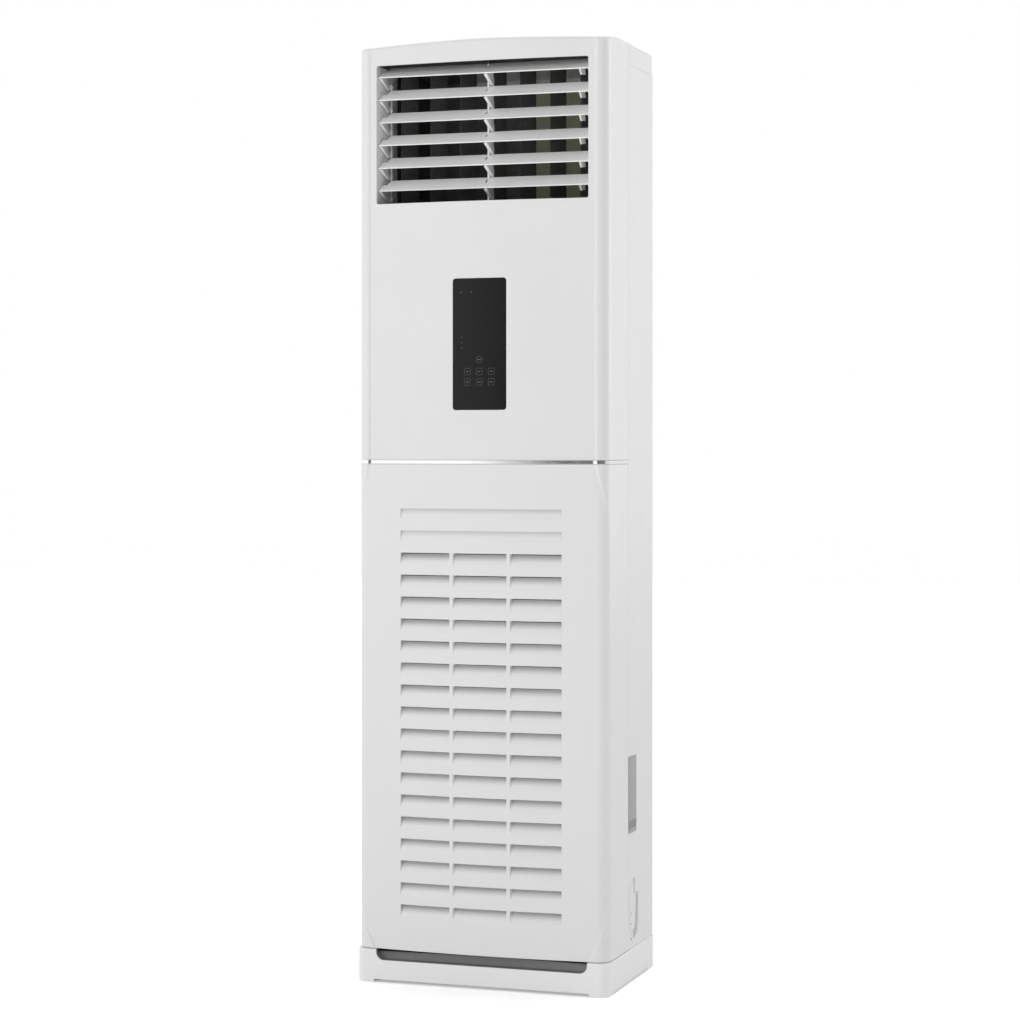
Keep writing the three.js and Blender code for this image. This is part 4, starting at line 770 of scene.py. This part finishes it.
class Front:
    """The surface of a front panel, whose corners stand out round a middle field. The step
    between them can grow wider toward the roof."""

    def __init__(self, field_edge=lambda z: FIELD_HALF_WIDTH, widening=0):
        self.field_edge = field_edge
        self.widening = widening

    def step_width(self, z):
        return STEP_WIDTH + self.widening * eased((z - ROOF_FROM) / ROOF_STEP_RUN)

    def raw(self, u, z):
        x, y = outline_at(u)
        width = self.step_width(z)
        rise = PILLAR_RISE * eased((abs(x) - self.field_edge(z) + width / 2) / width)
        if y > CORNER_Y:
            rise *= 1 - (y - CORNER_Y) / (PANEL_BACK_Y - CORNER_Y)
        return Vector((x, y - rise, z))

    def at(self, u, z, depth=0.0):
        across = self.raw(u + 0.15, z) - self.raw(u - 0.15, z)
        up = self.raw(u, z + 0.15) - self.raw(u, z - 0.15)
        normal = across.cross(up).normalized()
        return self.raw(u, z) - normal * depth, normal

    def step_lines(self, z0, z1, pitch):
        """Lines along both edges of the field, close enough together to draw its step."""
        lines = []
        for side in (-1, 1):
            for share in (-0.5, -0.3, -0.1, 0.1, 0.3, 0.5):
                line = []
                for z in spread(z0, z1, pitch):
                    x = min(self.field_edge(z) + share * self.step_width(z), HALF_BODY - 0.2)
                    line.append((side * u_of_x(x), z))
                lines.append(line)
        return lines


RIGHT_END = u_of_y(PANEL_BACK_Y)


def across_us(fine=14):
    """Steps round the front, closer together round the corners."""
    half = spread(0, BOW_LENGTH, fine) + spread(BOW_LENGTH, BOW_LENGTH + CORNER_LENGTH, 2.6)[1:]
    half += spread(BOW_LENGTH + CORNER_LENGTH, RIGHT_END, 22)[1:]
    return [-u for u in reversed(half)] + half[1:]


# ---- Lower front panel ----

GRILLE_TOP = 888
GRILLE_HALF_WIDTH = 158
SLOT_PITCH = 41.2
SLOT_LINES = 19
BLIND_LINES = 2
AIR_GAP = 5
RAMP_HEIGHT = 20
RAMP_DEPTH = 10
BLIND_DEPTH = 4.8
RAMP_END = 1
RAMP_POWER = 1.7
RAMP_CORNER, RAMP_ROUNDING = 0.9, 0.8
GAP_CORNER, GAP_ROUNDING = 0.5, 0.3
GRILLE_THICKNESS = 11.5
DIVIDER_X = 56
DIVIDER_WIDTH = 6
DIVIDER_SLOPE = 2.5
RECESS = (-78.2, -52.2, 810.1, 880.1)
RECESS_DEPTH = 8
RECESS_WALL = 2.5
LOW_SWEEP_END, HIGH_SWEEP_START = 172, 883.1


def bezier(first, middle, last, share):
    return first * (1 - share) ** 2 + 2 * middle * share * (1 - share) + last * share ** 2


def lower_field_edge(z):
    """Half width of the middle field, which sweeps in at its lower and upper corners."""
    if z < LOW_SWEEP_END:
        return bezier(210, 239, 243, max(0.0, (z - LOW_SWEEP_END + 110) / 110))
    if z > HIGH_SWEEP_START:
        return bezier(243, 233, 222, min(1.0, (z - HIGH_SWEEP_START) / 92))
    return 243


class Ramp:
    """The hollow below a slot line: it starts softly, is deepest at the line and rises to a divider
    at the given ends. An end is (x, side), with the hollow on that side of it."""

    def __init__(self, front, line, deepest, ends):
        self.front = front
        self.deepest = deepest
        self.ends = ends
        self.low = line - AIR_GAP / 2 - RAMP_HEIGHT
        self.high = line - RAMP_END

    def depth(self, x, z):
        share = max(0.0, min(1.0, (z - self.low) / (self.high - self.low)))
        depth = self.deepest * share ** RAMP_POWER
        for end, side in self.ends:
            depth *= eased(side * (x - end) / DIVIDER_SLOPE)
        return depth

    def at(self, u, z):
        x, _ = outline_at(u)
        up = (self.depth(x, z + 0.1) - self.depth(x, z - 0.1)) / 0.2
        across = (self.depth(x + 0.1, z) - self.depth(x - 0.1, z)) / 0.2
        place, normal = self.front.at(u, z, self.depth(x, z))
        return place, (normal + Vector((across, 0, up))).normalized()


GRILLE_MARKS = spread(-GRILLE_HALF_WIDTH, GRILLE_HALF_WIDTH, 20)


def hollow(skin, front, line, x0, x1, open_through):
    """A hollow from x0 to x1 below a slot line. Returns its outline on the panel, the outlines of
    its air gap, and where the walls of that gap end."""
    top = line + AIR_GAP / 2
    ways = [(x, way) for x, way in ((x0, 1), (x1, -1)) if abs(x) < GRILLE_HALF_WIDTH]
    ramp = Ramp(front, line, RAMP_DEPTH if open_through else BLIND_DEPTH, ways)
    levels = spread(ramp.low, ramp.high, 1.8)[1:] + [line + 1]
    cross = [x for x in GRILLE_MARKS if x0 + 5 < x < x1 - 5]
    cross += [x + way * share * DIVIDER_SLOPE for x, way in ways
              for share in (0.25, 0.5, 0.75, 1, 1.3)]
    cross.sort()
    knots = [(x0, top, RAMP_CORNER), (x1, top, RAMP_CORNER), (x1, ramp.low, 0), (x0, ramp.low, 0)]
    edge = on_front(border_of(knots, cross, levels, steps=3))
    depths = [ramp.depth(outline_at(u)[0], z) for u, z, _, _ in edge]
    radii = [min(RAMP_ROUNDING, depth / 2) for depth in depths]
    floor_ends = rim(skin, front.at, edge, radii, depths, steps=3)
    rows = [[(u_of_x(x), z) for x in [x0] + cross + [x1]] for z in levels[:-1]]
    gaps, gap_ends, openings = [], {}, []
    if open_through:
        start, stop = [DIVIDER_SLOPE + 0.1 if abs(x) < GRILLE_HALF_WIDTH else 0.7 for x in (x0, x1)]
        knots = box_knots(x0 + start, x1 - stop, line + 0.7, top - 0.6, GAP_CORNER, hole=True)
        gaps = [on_front(border_of(knots, cross, steps=2))]
        openings = [inset(gaps[0], GAP_ROUNDING)]
        floor_wall = GRILLE_THICKNESS - RAMP_DEPTH
        gap_ends = rim(skin, ramp.at, gaps[0], GAP_ROUNDING, floor_wall, steps=2)
    patch(skin, ramp.at, plain(edge), openings, rows, fixed=floor_ends)
    return inset(edge, radii), gaps, gap_ends


def finger_recess(skin, front, side):
    """A recess in one side, deepest at its front. Returns its outline and that of its back."""
    y0, y1, z0, z1 = RECESS
    u0, u1 = sorted((side * u_of_y(y0), side * u_of_y(y1)))
    edge = border_of(box_knots(u0, u1, z0, z1, 6, hole=True), spread(u0, u1, 5), steps=6)

    def scoop(u):
        share = (u_of_y(y1) - abs(u)) / (y1 - y0)
        return 0.3 + (RECESS_DEPTH - RECESS_WALL) * max(0, share) ** 1.6

    def scoop_floor(u, z):
        place, normal = front.at(u, z, scoop(u))
        along = front.at(u + 0.2, z, scoop(u + 0.2))[0] - front.at(u - 0.2, z, scoop(u - 0.2))[0]
        facing = along.cross(UP).normalized()
        return place, facing if facing.dot(normal) > 0 else -facing

    depths = [scoop(u) for u, _, _, _ in edge]
    radii = [min(1.2, depth / 2) for depth in depths]
    ends = rim(skin, front.at, edge, radii, depths, steps=4)
    rows = [[(u, z) for z in spread(z0 + 1, z1 - 1, 12)] for u in spread(u0, u1, 4)[1:-1]]
    patch(skin, scoop_floor, plain(edge), (), rows, fixed=ends)
    back = box_knots(u0 - RECESS_WALL, u1 + RECESS_WALL, z0 - RECESS_WALL, z1 + RECESS_WALL, 8)
    return inset(edge, radii), border_of(back, steps=6)


def lower_panel():
    front = Front(lower_field_edge)
    skin = Skin()
    border = border_of(box_knots(-RIGHT_END, RIGHT_END, LOWER_BOTTOM, LOWER_TOP, 2),
                       across_us(), spread(LOWER_BOTTOM, LOWER_TOP, 40))
    ends = rim(skin, front.at, border, PANEL_EDGE, PANEL_WALL, steps=3)

    cuts, gaps = [], []
    half, middle = GRILLE_HALF_WIDTH, DIVIDER_X - DIVIDER_WIDTH / 2
    side = DIVIDER_X + DIVIDER_WIDTH / 2
    for number in range(SLOT_LINES):
        is_open = number >= BLIND_LINES
        cells = [(-half, -side), (-middle, middle), (side, half)] if is_open else [(-half, half)]
        for x0, x1 in cells:
            cut, new_gaps, gap_ends = hollow(
                skin, front, GRILLE_TOP - SLOT_PITCH * number, x0, x1, is_open)
            cuts.append(cut)
            gaps += new_gaps
            ends.update(gap_ends)

    low = GRILLE_TOP - SLOT_PITCH * (SLOT_LINES - 1) - 28
    knots = box_knots(-half - 8, half + 8, low, GRILLE_TOP + 9, 4)
    backs = [(on_front(border_of(knots, GRILLE_MARKS, steps=3)), GRILLE_THICKNESS, gaps)]
    for side in (-1, 1):
        cut, back = finger_recess(skin, front, side)
        cuts.append(cut)
        backs.append((back, RECESS_DEPTH + RECESS_WALL, []))

    grid = lattice(across_us(), spread(LOWER_BOTTOM, LOWER_TOP, 30))
    patch(skin, front.at, inset(border, PANEL_EDGE), cuts,
          front.step_lines(LOWER_BOTTOM + 1.2, LOWER_TOP - 1.2, 7), grid, room=2.2)
    for edge, depth, openings in backs:
        tops, bottoms = well(skin, front.at, edge, PANEL_WALL, depth)
        ends.update(tops)
        patch(skin, sunk(front.at, depth), plain(edge), [plain(hole) for hole in openings],
              fixed={**ends, **bottoms})
    patch(skin, sunk(front.at, PANEL_WALL), plain(border), [plain(edge) for edge, _, _ in backs],
          front.step_lines(LOWER_BOTTOM + 3, LOWER_TOP - 3, 30), grid, room=2.2, fixed=ends)
    piece = skin.piece("lower_panel_moulding")
    mark_hollows(piece, front)
    return piece


def mark_hollows(piece, front):
    """Writes each point's depth in the grille, as a share of the deepest, for the painted shade of
    the grille's material.
    """
    marks = piece.data.attributes.new("hollow", "FLOAT", "POINT")
    for vert, mark in zip(piece.data.vertices, marks.data):
        x, y, z = vert.co / MM
        if abs(x) < GRILLE_HALF_WIDTH + 0.6 and z < GRILLE_TOP + 5:
            depth = y - front.raw(u_of_x(x), z).y
            mark.value = min(1.0, max(0.0, depth / RAMP_DEPTH))


# ---- Upper front panel ----

ROOF_EDGE = 7
ROOF_RUN = 99
MIDDLE_DROP, SIDE_DROP = 2, 11
STEP_TOP, GRID_TOP = 1733, 1745


def roof_height(x, y):
    """The roof's height, which drops toward the front, and more so at its sides."""
    run = max(0.0, min(1.0, (FACE_Y + ROOF_RUN - y) / ROOF_RUN))
    drop = MIDDLE_DROP + SIDE_DROP * (min(abs(x), HALF_BODY) / HALF_BODY) ** 1.8
    return HEIGHT - drop * run ** 1.6


def roof(x, y):
    across = Vector((0.4, 0, roof_height(x + 0.2, y) - roof_height(x - 0.2, y)))
    along = Vector((0, 0.4, roof_height(x, y + 0.2) - roof_height(x, y - 0.2)))
    return Vector((x, y, roof_height(x, y))), across.cross(along).normalized()


def roof_edge_at(front, u):
    """Where the edge between front and roof turns: its centre, and the directions it turns
    between, with the height at which it leaves the front."""
    z, lift = 1750.0, 0.0
    for _ in range(9):
        z += lift
        place, normal = front.at(u, z)
        centre = place - normal * ROOF_EDGE
        _, up = roof(centre.x, centre.y)
        lift = roof_height(centre.x, centre.y) - ROOF_EDGE / up.z - centre.z
    return z, centre, normal, up


def turned(start, end, steps):
    """The directions from start to end in even turns."""
    angle = start.angle(end)
    return [((start * math.sin(angle * (1 - i / steps)) + end * math.sin(angle * i / steps))
             / math.sin(angle)) for i in range(steps + 1)]


def opening(half_width, bottom, top, radius, pitch_across, pitch_up):
    knots = box_knots(-half_width, half_width, bottom, top, radius, hole=True)
    return on_front(border_of(knots, spread(-half_width, half_width, pitch_across),
                              spread(bottom, top, pitch_up)))


def upper_panel():
    front = Front(widening=12)
    skin = Skin()
    us = across_us()
    near_us = [-RIGHT_END + PANEL_EDGE] + us[1:-1] + [RIGHT_END - PANEL_EDGE]
    edges = {u: roof_edge_at(front, u) for u in set(us + near_us)}
    side_top = edges[us[-1]][0]
    knots = [(-RIGHT_END, side_top, 0), (-RIGHT_END, UPPER_BOTTOM, 2),
             (RIGHT_END, UPPER_BOTTOM, 2), (RIGHT_END, side_top, 0)]
    border = border_of(knots, us, spread(UPPER_BOTTOM, side_top, 40), closed=False)

    def frames(u, radius, sign=1):
        _, centre, normal, up = edges[u]
        return [(centre + f * radius, f * sign) for f in turned(normal, up, 6)]

    outlet = opening(OUTLET_HALF_WIDTH, OUTLET_BOTTOM, OUTLET_TOP, OUTLET_RADIUS, 16, 20)
    display = opening(DISPLAY_HALF_WIDTH, DISPLAY_BOTTOM, DISPLAY_TOP, DISPLAY_RADIUS, 15, 24)
    ends = rim(skin, front.at, outlet, OUTLET_EDGE, PANEL_WALL, steps=4)
    ends.update(rim(skin, front.at, display, DISPLAY_EDGE, PANEL_WALL, steps=3))

    grid = lattice(us, spread(UPPER_BOTTOM, GRID_TOP, 30))
    outline = inset(border, PANEL_EDGE)[:-1] + [(u, edges[u][0]) for u in near_us[::-1]]
    patch(skin, front.at, outline, [inset(outlet, OUTLET_EDGE), inset(display, DISPLAY_EDGE)],
          front.step_lines(UPPER_BOTTOM + 1.2, STEP_TOP, 8), grid, room=2.4)
    skin.strip([frames(u, ROOF_EDGE) for u in near_us])

    crest = [frames(u, ROOF_EDGE)[-1][0] for u in near_us]
    rear = spread(crest[-1].x, crest[0].x, 20)[1:-1]
    roof_points = lattice(spread(-235, 235, 18), spread(-150, -20, 9))

    def roof_patch(surface, places):
        outline = [(p.x, p.y) for p in places] + [(x, places[0].y) for x in rear]
        patch(skin, surface, outline, points=roof_points, room=2.4,
              fixed={mark_of(place): place for place in places})

    roof_patch(roof, crest)

    columns = []
    right, left = frames(near_us[-1], ROOF_EDGE), frames(near_us[0], ROOF_EDGE)[::-1]
    for place, normal in right + [(roof(x, crest[0].y)[0], UP) for x in rear] + left:
        facings = [normal * math.cos(angle) + BACKWARD * math.sin(angle)
                   for angle in (0, QUARTER / 3, 2 * QUARTER / 3, QUARTER)]
        column = [(place + (facing - normal) * PANEL_EDGE, facing) for facing in facings]
        columns.append(column + [(place + BACKWARD * PANEL_EDGE - normal * PANEL_WALL, BACKWARD)])
    skin.strip(columns)
    ends.update(rim(skin, front.at, border, PANEL_EDGE, PANEL_WALL, closed=False, steps=3))

    outline = plain(border)[:-1] + [(u, edges[u][0]) for u in us[::-1]]
    patch(skin, sunk(front.at, PANEL_WALL), outline, [plain(outlet), plain(display)],
          front.step_lines(UPPER_BOTTOM + 3, STEP_TOP, 30), grid, room=2.4, fixed=ends)
    inner_edge = ROOF_EDGE - PANEL_WALL
    skin.strip([frames(u, inner_edge, -1) for u in us])
    roof_patch(sunk(roof, PANEL_WALL), [frames(u, inner_edge)[-1][0] for u in us])
    return skin.piece("upper_panel_moulding")


# ---- Trim strip and display ----


def trim(front):
    """A bright strip between the panels, which follows their stepped surface."""
    proud, edge, wall = 0.8, 0.7, PANEL_WALL
    section = []
    for step in range(5):
        angle = QUARTER * step / 4
        across, along = math.sin(angle), math.cos(angle)
        section.append((TRIM_BOTTOM + edge * (1 - across), proud - edge * (1 - along),
                        -across, along))
    section = section[::-1]
    upper = [(TRIM_BOTTOM + TRIM_TOP - z, out, -facing, level) for z, out, facing, level in section]
    section = [(TRIM_BOTTOM, -wall, -1, 0)] + section + upper[::-1] + [(TRIM_TOP, -wall, 1, 0)]
    section += [(TRIM_TOP, -wall, 0, -1), (TRIM_BOTTOM, -wall, 0, -1)]
    edge_u = u_of_x(FIELD_HALF_WIDTH)
    fine = [side * (edge_u + offset) for side in (-1, 1) for offset in spread(-2.6, 2.6, 0.5)]
    us = sorted([u for u in across_us(10) if abs(abs(u) - edge_u) > 2.9] + fine)
    skin = Skin()
    columns = []
    for u in us:
        place, normal = front.at(u, (TRIM_BOTTOM + TRIM_TOP) / 2)
        columns.append([(Vector((place.x, place.y, z)) + normal * out,
                         (Vector((0, 0, up)) + normal * level).normalized())
                        for z, out, up, level in section])
    skin.strip(columns)
    for column in (columns[0], columns[-1]):
        skin.face([(place, BACKWARD) for place, _ in column[:-1]])
    return skin.piece("trim_band")


def display_glass(front):
    """A sheet of dark glass with round edges, flush in its opening."""
    skin = Skin()
    gap, rounding, thickness = 0.3, 0.6, 2.6
    marks = spread(-50, 50, 10)
    knots = box_knots(-DISPLAY_HALF_WIDTH + gap, DISPLAY_HALF_WIDTH - gap, DISPLAY_BOTTOM + gap,
                      DISPLAY_TOP - gap, DISPLAY_RADIUS - gap)
    edge = on_front(border_of(knots, marks, spread(DISPLAY_BOTTOM, DISPLAY_TOP, 24)))
    ends = rim(skin, front.at, edge, rounding, thickness, steps=4)
    grid = lattice(marks, spread(DISPLAY_BOTTOM, DISPLAY_TOP, 20))
    patch(skin, front.at, inset(edge, rounding), points=grid)
    patch(skin, sunk(front.at, thickness), plain(edge), points=grid, fixed=ends)
    return skin.piece("display_glass_sheet")


KEY_COLUMNS = (-23.5, 0, 23.4)
KEY_ROWS = (1146, 1126.5)
TOP_KEY_Z = 1168


def ring_on(skin, front, knots, width, proud=0.05, sunk_by=0.1):
    """A thin printed outline, as a low band on the surface."""
    outer = border_of(knots, steps=5)
    inner = inset(outer, width)
    count = len(outer)
    for i in range(count):
        j = (i + 1) % count
        corners = [outer[i][:2], outer[j][:2], inner[j], inner[i]]
        tops = [front.at(u, z, -proud) for u, z in corners]
        skin.face(tops)
        for a, b, sign in ((0, 1, -1), (3, 2, 1)):
            lead = Vector((outer[i][2], 0, outer[i][3])) * sign
            lows = [front.at(*corners[a], sunk_by)[0], front.at(*corners[b], sunk_by)[0]]
            skin.face([(tops[a][0], lead), (tops[b][0], lead), (lows[1], lead), (lows[0], lead)])
        skin.face([(front.at(*c, sunk_by)[0], -front.at(*c)[1]) for c in corners])


def display_marks(front):
    """The outlines of the keys, a bar in each, and small marks above them."""
    skin = Skin()

    def mark(x, z, half_width, half_height, radius, width):
        knots = box_knots(x - half_width, x + half_width, z - half_height, z + half_height, radius)
        ring_on(skin, front, knots, width)

    for x, z in lattice(KEY_COLUMNS, KEY_ROWS):
        mark(x, z, 6.2, 6.4, 2.5, 0.55)
    mark(0, TOP_KEY_Z, 6.4, 6.4, 6.3, 0.55)
    for x in (-35.8, -15.4):
        mark(x, 1293, 1.5, 1.5, 1.45, 0.8)
    for x in KEY_COLUMNS:
        for z, half_width in zip(KEY_ROWS, (2.6, 3.4)):
            mark(x, z, half_width, 1, 0.4, 0.95)
    mark(0, TOP_KEY_Z, 4.4, 1, 0.4, 0.95)
    for z in (1190, 1200, 1210):
        mark(-35, z, 1.5, 0.6, 0.3, 0.55)
    return skin.piece("display_marks")


lower = dress(lower_panel(), "white_plastic", "lower_panel", ["lower_front_panel"])
# The lower panel takes the white with painted shade in its grille's hollows.
lower.data.materials[0] = grille_painted_shade_finish("white_plastic_grille_painted_shade")
dress(upper_panel(), "white_plastic", "cabinet", ["upper_front_panel"])
middle_front = Front()
dress(trim(middle_front), "chrome_trim", "cabinet", ["trim_strip"])
dress(display_glass(middle_front), "display_glass", "cabinet", ["display_window"])
dress(display_marks(middle_front), "grey_plastic", "cabinet")

# ---- Louvers ----

LOUVER_FRONT_Y = -140
LOUVER_TOP_Z = 1700.5
LOUVER_PITCH = 42.7
LOUVER_TILT = math.radians(28)
LOUVERS = 6
BLADE_EDGES = [(17.8, 22.2, -4.1, 3.6), (22, 47.9, -4.1, -1.8), (22, 47.9, 1.8, 3.6)]


def face_out(shape):
    bmesh.ops.recalc_face_normals(shape, faces=shape.faces[:])


def round_edges(shape, edges, width, segments):
    bmesh.ops.bevel(shape, geom=edges, offset=width * MM, segments=segments, affect="EDGES",
                    profile=0.5)


def bar_between(start, end, x0, x1, thickness, rounding=0.3):
    """A flat bar with round edges, from x0 to x1, that runs between two (y, z) places. Rounding is
    a share of its thickness."""
    along = Vector((0, end[0] - start[0], end[1] - start[1]))
    across = Vector((0, -along.z, along.y)).normalized() * (thickness / 2)
    shape = bmesh.new()
    corners = []
    for x in (x0, x1):
        for y, z in (start, end):
            for side in (-1, 1):
                corners.append(shape.verts.new((Vector((x, y, z)) + across * side) * MM))
    for face in ((0, 1, 3, 2), (4, 6, 7, 5), (0, 4, 5, 1), (2, 3, 7, 6), (0, 2, 6, 4),
                 (1, 5, 7, 3)):
        shape.faces.new([corners[i] for i in face])
    round_edges(shape, shape.edges[:], thickness * rounding, 3)
    face_out(shape)
    return shape


def bmesh_piece(name, shapes):
    whole = bmesh.new()
    for shape in shapes:
        mesh = bpy.data.meshes.new("part")
        shape.to_mesh(mesh)
        whole.from_mesh(mesh)
        bpy.data.meshes.remove(mesh)
    mesh = bpy.data.meshes.new(name)
    whole.to_mesh(mesh)
    mesh.shade_smooth()
    return link(name, mesh)


def louver_flanges(number):
    """Broad edges on a louver's left ear and its middle rib, and sheets beside that rib."""
    z = LOUVER_TOP_Z - LOUVER_PITCH * (number - 1)
    start, end = (LOUVER_FRONT_Y + 3.5, z - 1.5), (-97, z - 17)
    shapes = [bar_between(start, end, 2.2, 8.6, 1.8), bar_between(start, end, -206.3, -200.6, 1.8)]
    c, s = math.cos(LOUVER_TILT), math.sin(LOUVER_TILT)

    def on_blade(along):
        return LOUVER_FRONT_Y + along * c - s, z + along * s + c

    for first, last, x0, x1 in BLADE_EDGES:
        shapes.append(bar_between(on_blade(first), on_blade(last), x0, x1, 1.96, 0.1))
    return bmesh_piece(f"louver_{number}_flanges", shapes)


for number in range(1, LOUVERS + 1):
    dress(louver_flanges(number), "louver_plastic", f"louver_{number}_body")

# ---- Cover, side details and skirts ----

COVER_BOTTOM = 1725
SHEET = 1.2
SCREW_START = 154.3
SCREW_LEVELS = (84, 400, 716, 1032, 1348, 1690)


def box_shape(low, high):
    shape = bmesh.new()
    bmesh.ops.create_cube(shape, size=1)
    for vert in shape.verts:
        vert.co = Vector([(low[i] if c < 0 else high[i]) * MM for i, c in enumerate(vert.co)])
    return shape


def top_cover():
    """The cover behind the front panel, with the same round edges."""
    low = (-HALF_BODY, PANEL_BACK_Y + 0.3, COVER_BOTTOM)
    shape = box_shape(low, (HALF_BODY, BACK_Y, HEIGHT))
    open_faces = [face for face in shape.faces if any(
        all(abs(vert.co[axis] - low[axis] * MM) < 1e-6 for vert in face.verts) for axis in (1, 2))]
    bmesh.ops.delete(shape, geom=open_faces, context="FACES_ONLY")
    edges = [edge for edge in shape.edges if len(edge.link_faces) == 2]
    round_edges(shape, edges, ROOF_EDGE, 6)
    face_out(shape)
    roof_face = max(shape.faces, key=lambda face: face.calc_center_median().z)
    if roof_face.normal.z < 0:
        bmesh.ops.reverse_faces(shape, faces=shape.faces[:])
    bmesh.ops.solidify(shape, geom=shape.faces[:], thickness=SHEET * MM)
    return crisp(bmesh_piece("top_cover_sheet", [shape]))


def crisp(piece):
    """Flat faces stay flat and only shallow edges look round."""
    piece.data.set_sharp_from_angle(angle=SHARP_ANGLE)
    piece.modifiers.new("even", "WEIGHTED_NORMAL").keep_sharp = True
    return piece


def ribbon(places, width, x0, x1):
    """A band along (y, z) places, between two planes across X."""
    shape = bmesh.new()
    rows = []
    for i, (y, z) in enumerate(places):
        before, after = places[max(0, i - 1)], places[min(len(places) - 1, i + 1)]
        along = Vector((after[0] - before[0], after[1] - before[1])).normalized()
        side = Vector((-along.y, along.x)) * (width / 2)
        rows.append([shape.verts.new(Vector((x, y + side.x * s, z + side.y * s)) * MM)
                     for x, s in ((x0, -1), (x0, 1), (x1, 1), (x1, -1))])
    for first, second in zip(rows, rows[1:]):
        for i in range(4):
            j = (i + 1) % 4
            shape.faces.new([first[i], first[j], second[j], second[i]])
    shape.faces.new(rows[0])
    shape.faces.new(rows[-1])
    face_out(shape)
    return shape


def pipe_cover_painted_shade(side, name):
    """Painted shade on a pipe cover: grey strips for the shadowed slit of its open edge and for its
    vent dots.
    """
    x0, x1 = side * 246.1, side * 246.72
    thin = [(24, 192), (25, 182), (25.6, 172), (26, 164)]
    broad = [(44.6, 163), (44.4, 148), (43.5, 130), (41.5, 112), (37.6, 100), (30, 91.5),
             (19.8, 86.6)]
    shapes = [ribbon(thin, 8, x0, x1), ribbon(broad, 17, x0, x1)]
    for y, z in ((6.6, 128), (3.2, 109), (6.6, 80)):
        shapes.append(ribbon([(y - 4, z), (y + 4, z)], 3, x0, x1))
    return bmesh_piece(name, shapes)


def back_screws():
    """Screws with a hexagon on a flange, along the upright edges of the back panel."""
    shapes = []
    for x, z in lattice((-236, 236), SCREW_LEVELS):
        for radius, sides, end in ((5, 24, 155.6), (4, 6, 156.9)):
            shape = bmesh.new()
            bmesh.ops.create_cone(shape, cap_ends=True, segments=sides, radius1=radius * MM,
                                  radius2=radius * MM, depth=(end - SCREW_START) * MM)
            middle = (end + SCREW_START) / 2
            for vert in shape.verts:
                across, up, along = vert.co
                vert.co = (x * MM + across, middle * MM + along, z * MM + up)
            face_out(shape)
            round_edges(shape, shape.edges[:], 0.25, 2)
            shapes.append(shape)
    return crisp(bmesh_piece("back_panel_screws", shapes))


dress(back_screws(), "machined_steel")
dress(top_cover(), "painted_steel", "cabinet", ["top_cover"])
# Grey strips on both sides are painted shade of the pipe covers' open edges and vent dots.
for side, name in ((1, "pipe_cover_right_painted_shade"), (-1, "pipe_cover_left_painted_shade")):
    dress(pipe_cover_painted_shade(side, name), "hose_plastic")
skirts = [box_shape((x0, -118, 0.1), (x1, 123, 6.2))
          for x0, x1 in ((244.3, 246.9), (-246.9, -244.3))]
dress(crisp(bmesh_piece("base_side_skirts", skirts)), "base_plastic")

REPLACED = ("lower_front_panel", "upper_front_panel", "trim_strip", "display_window", "top_cover")
for name, node in frame["nodes"].items():
    if name not in REPLACED:
        thin = name.startswith(("louver_", "vane_"))
        soften(node, THIN_EDGE_ROUNDING if thin else EDGE_ROUNDING)
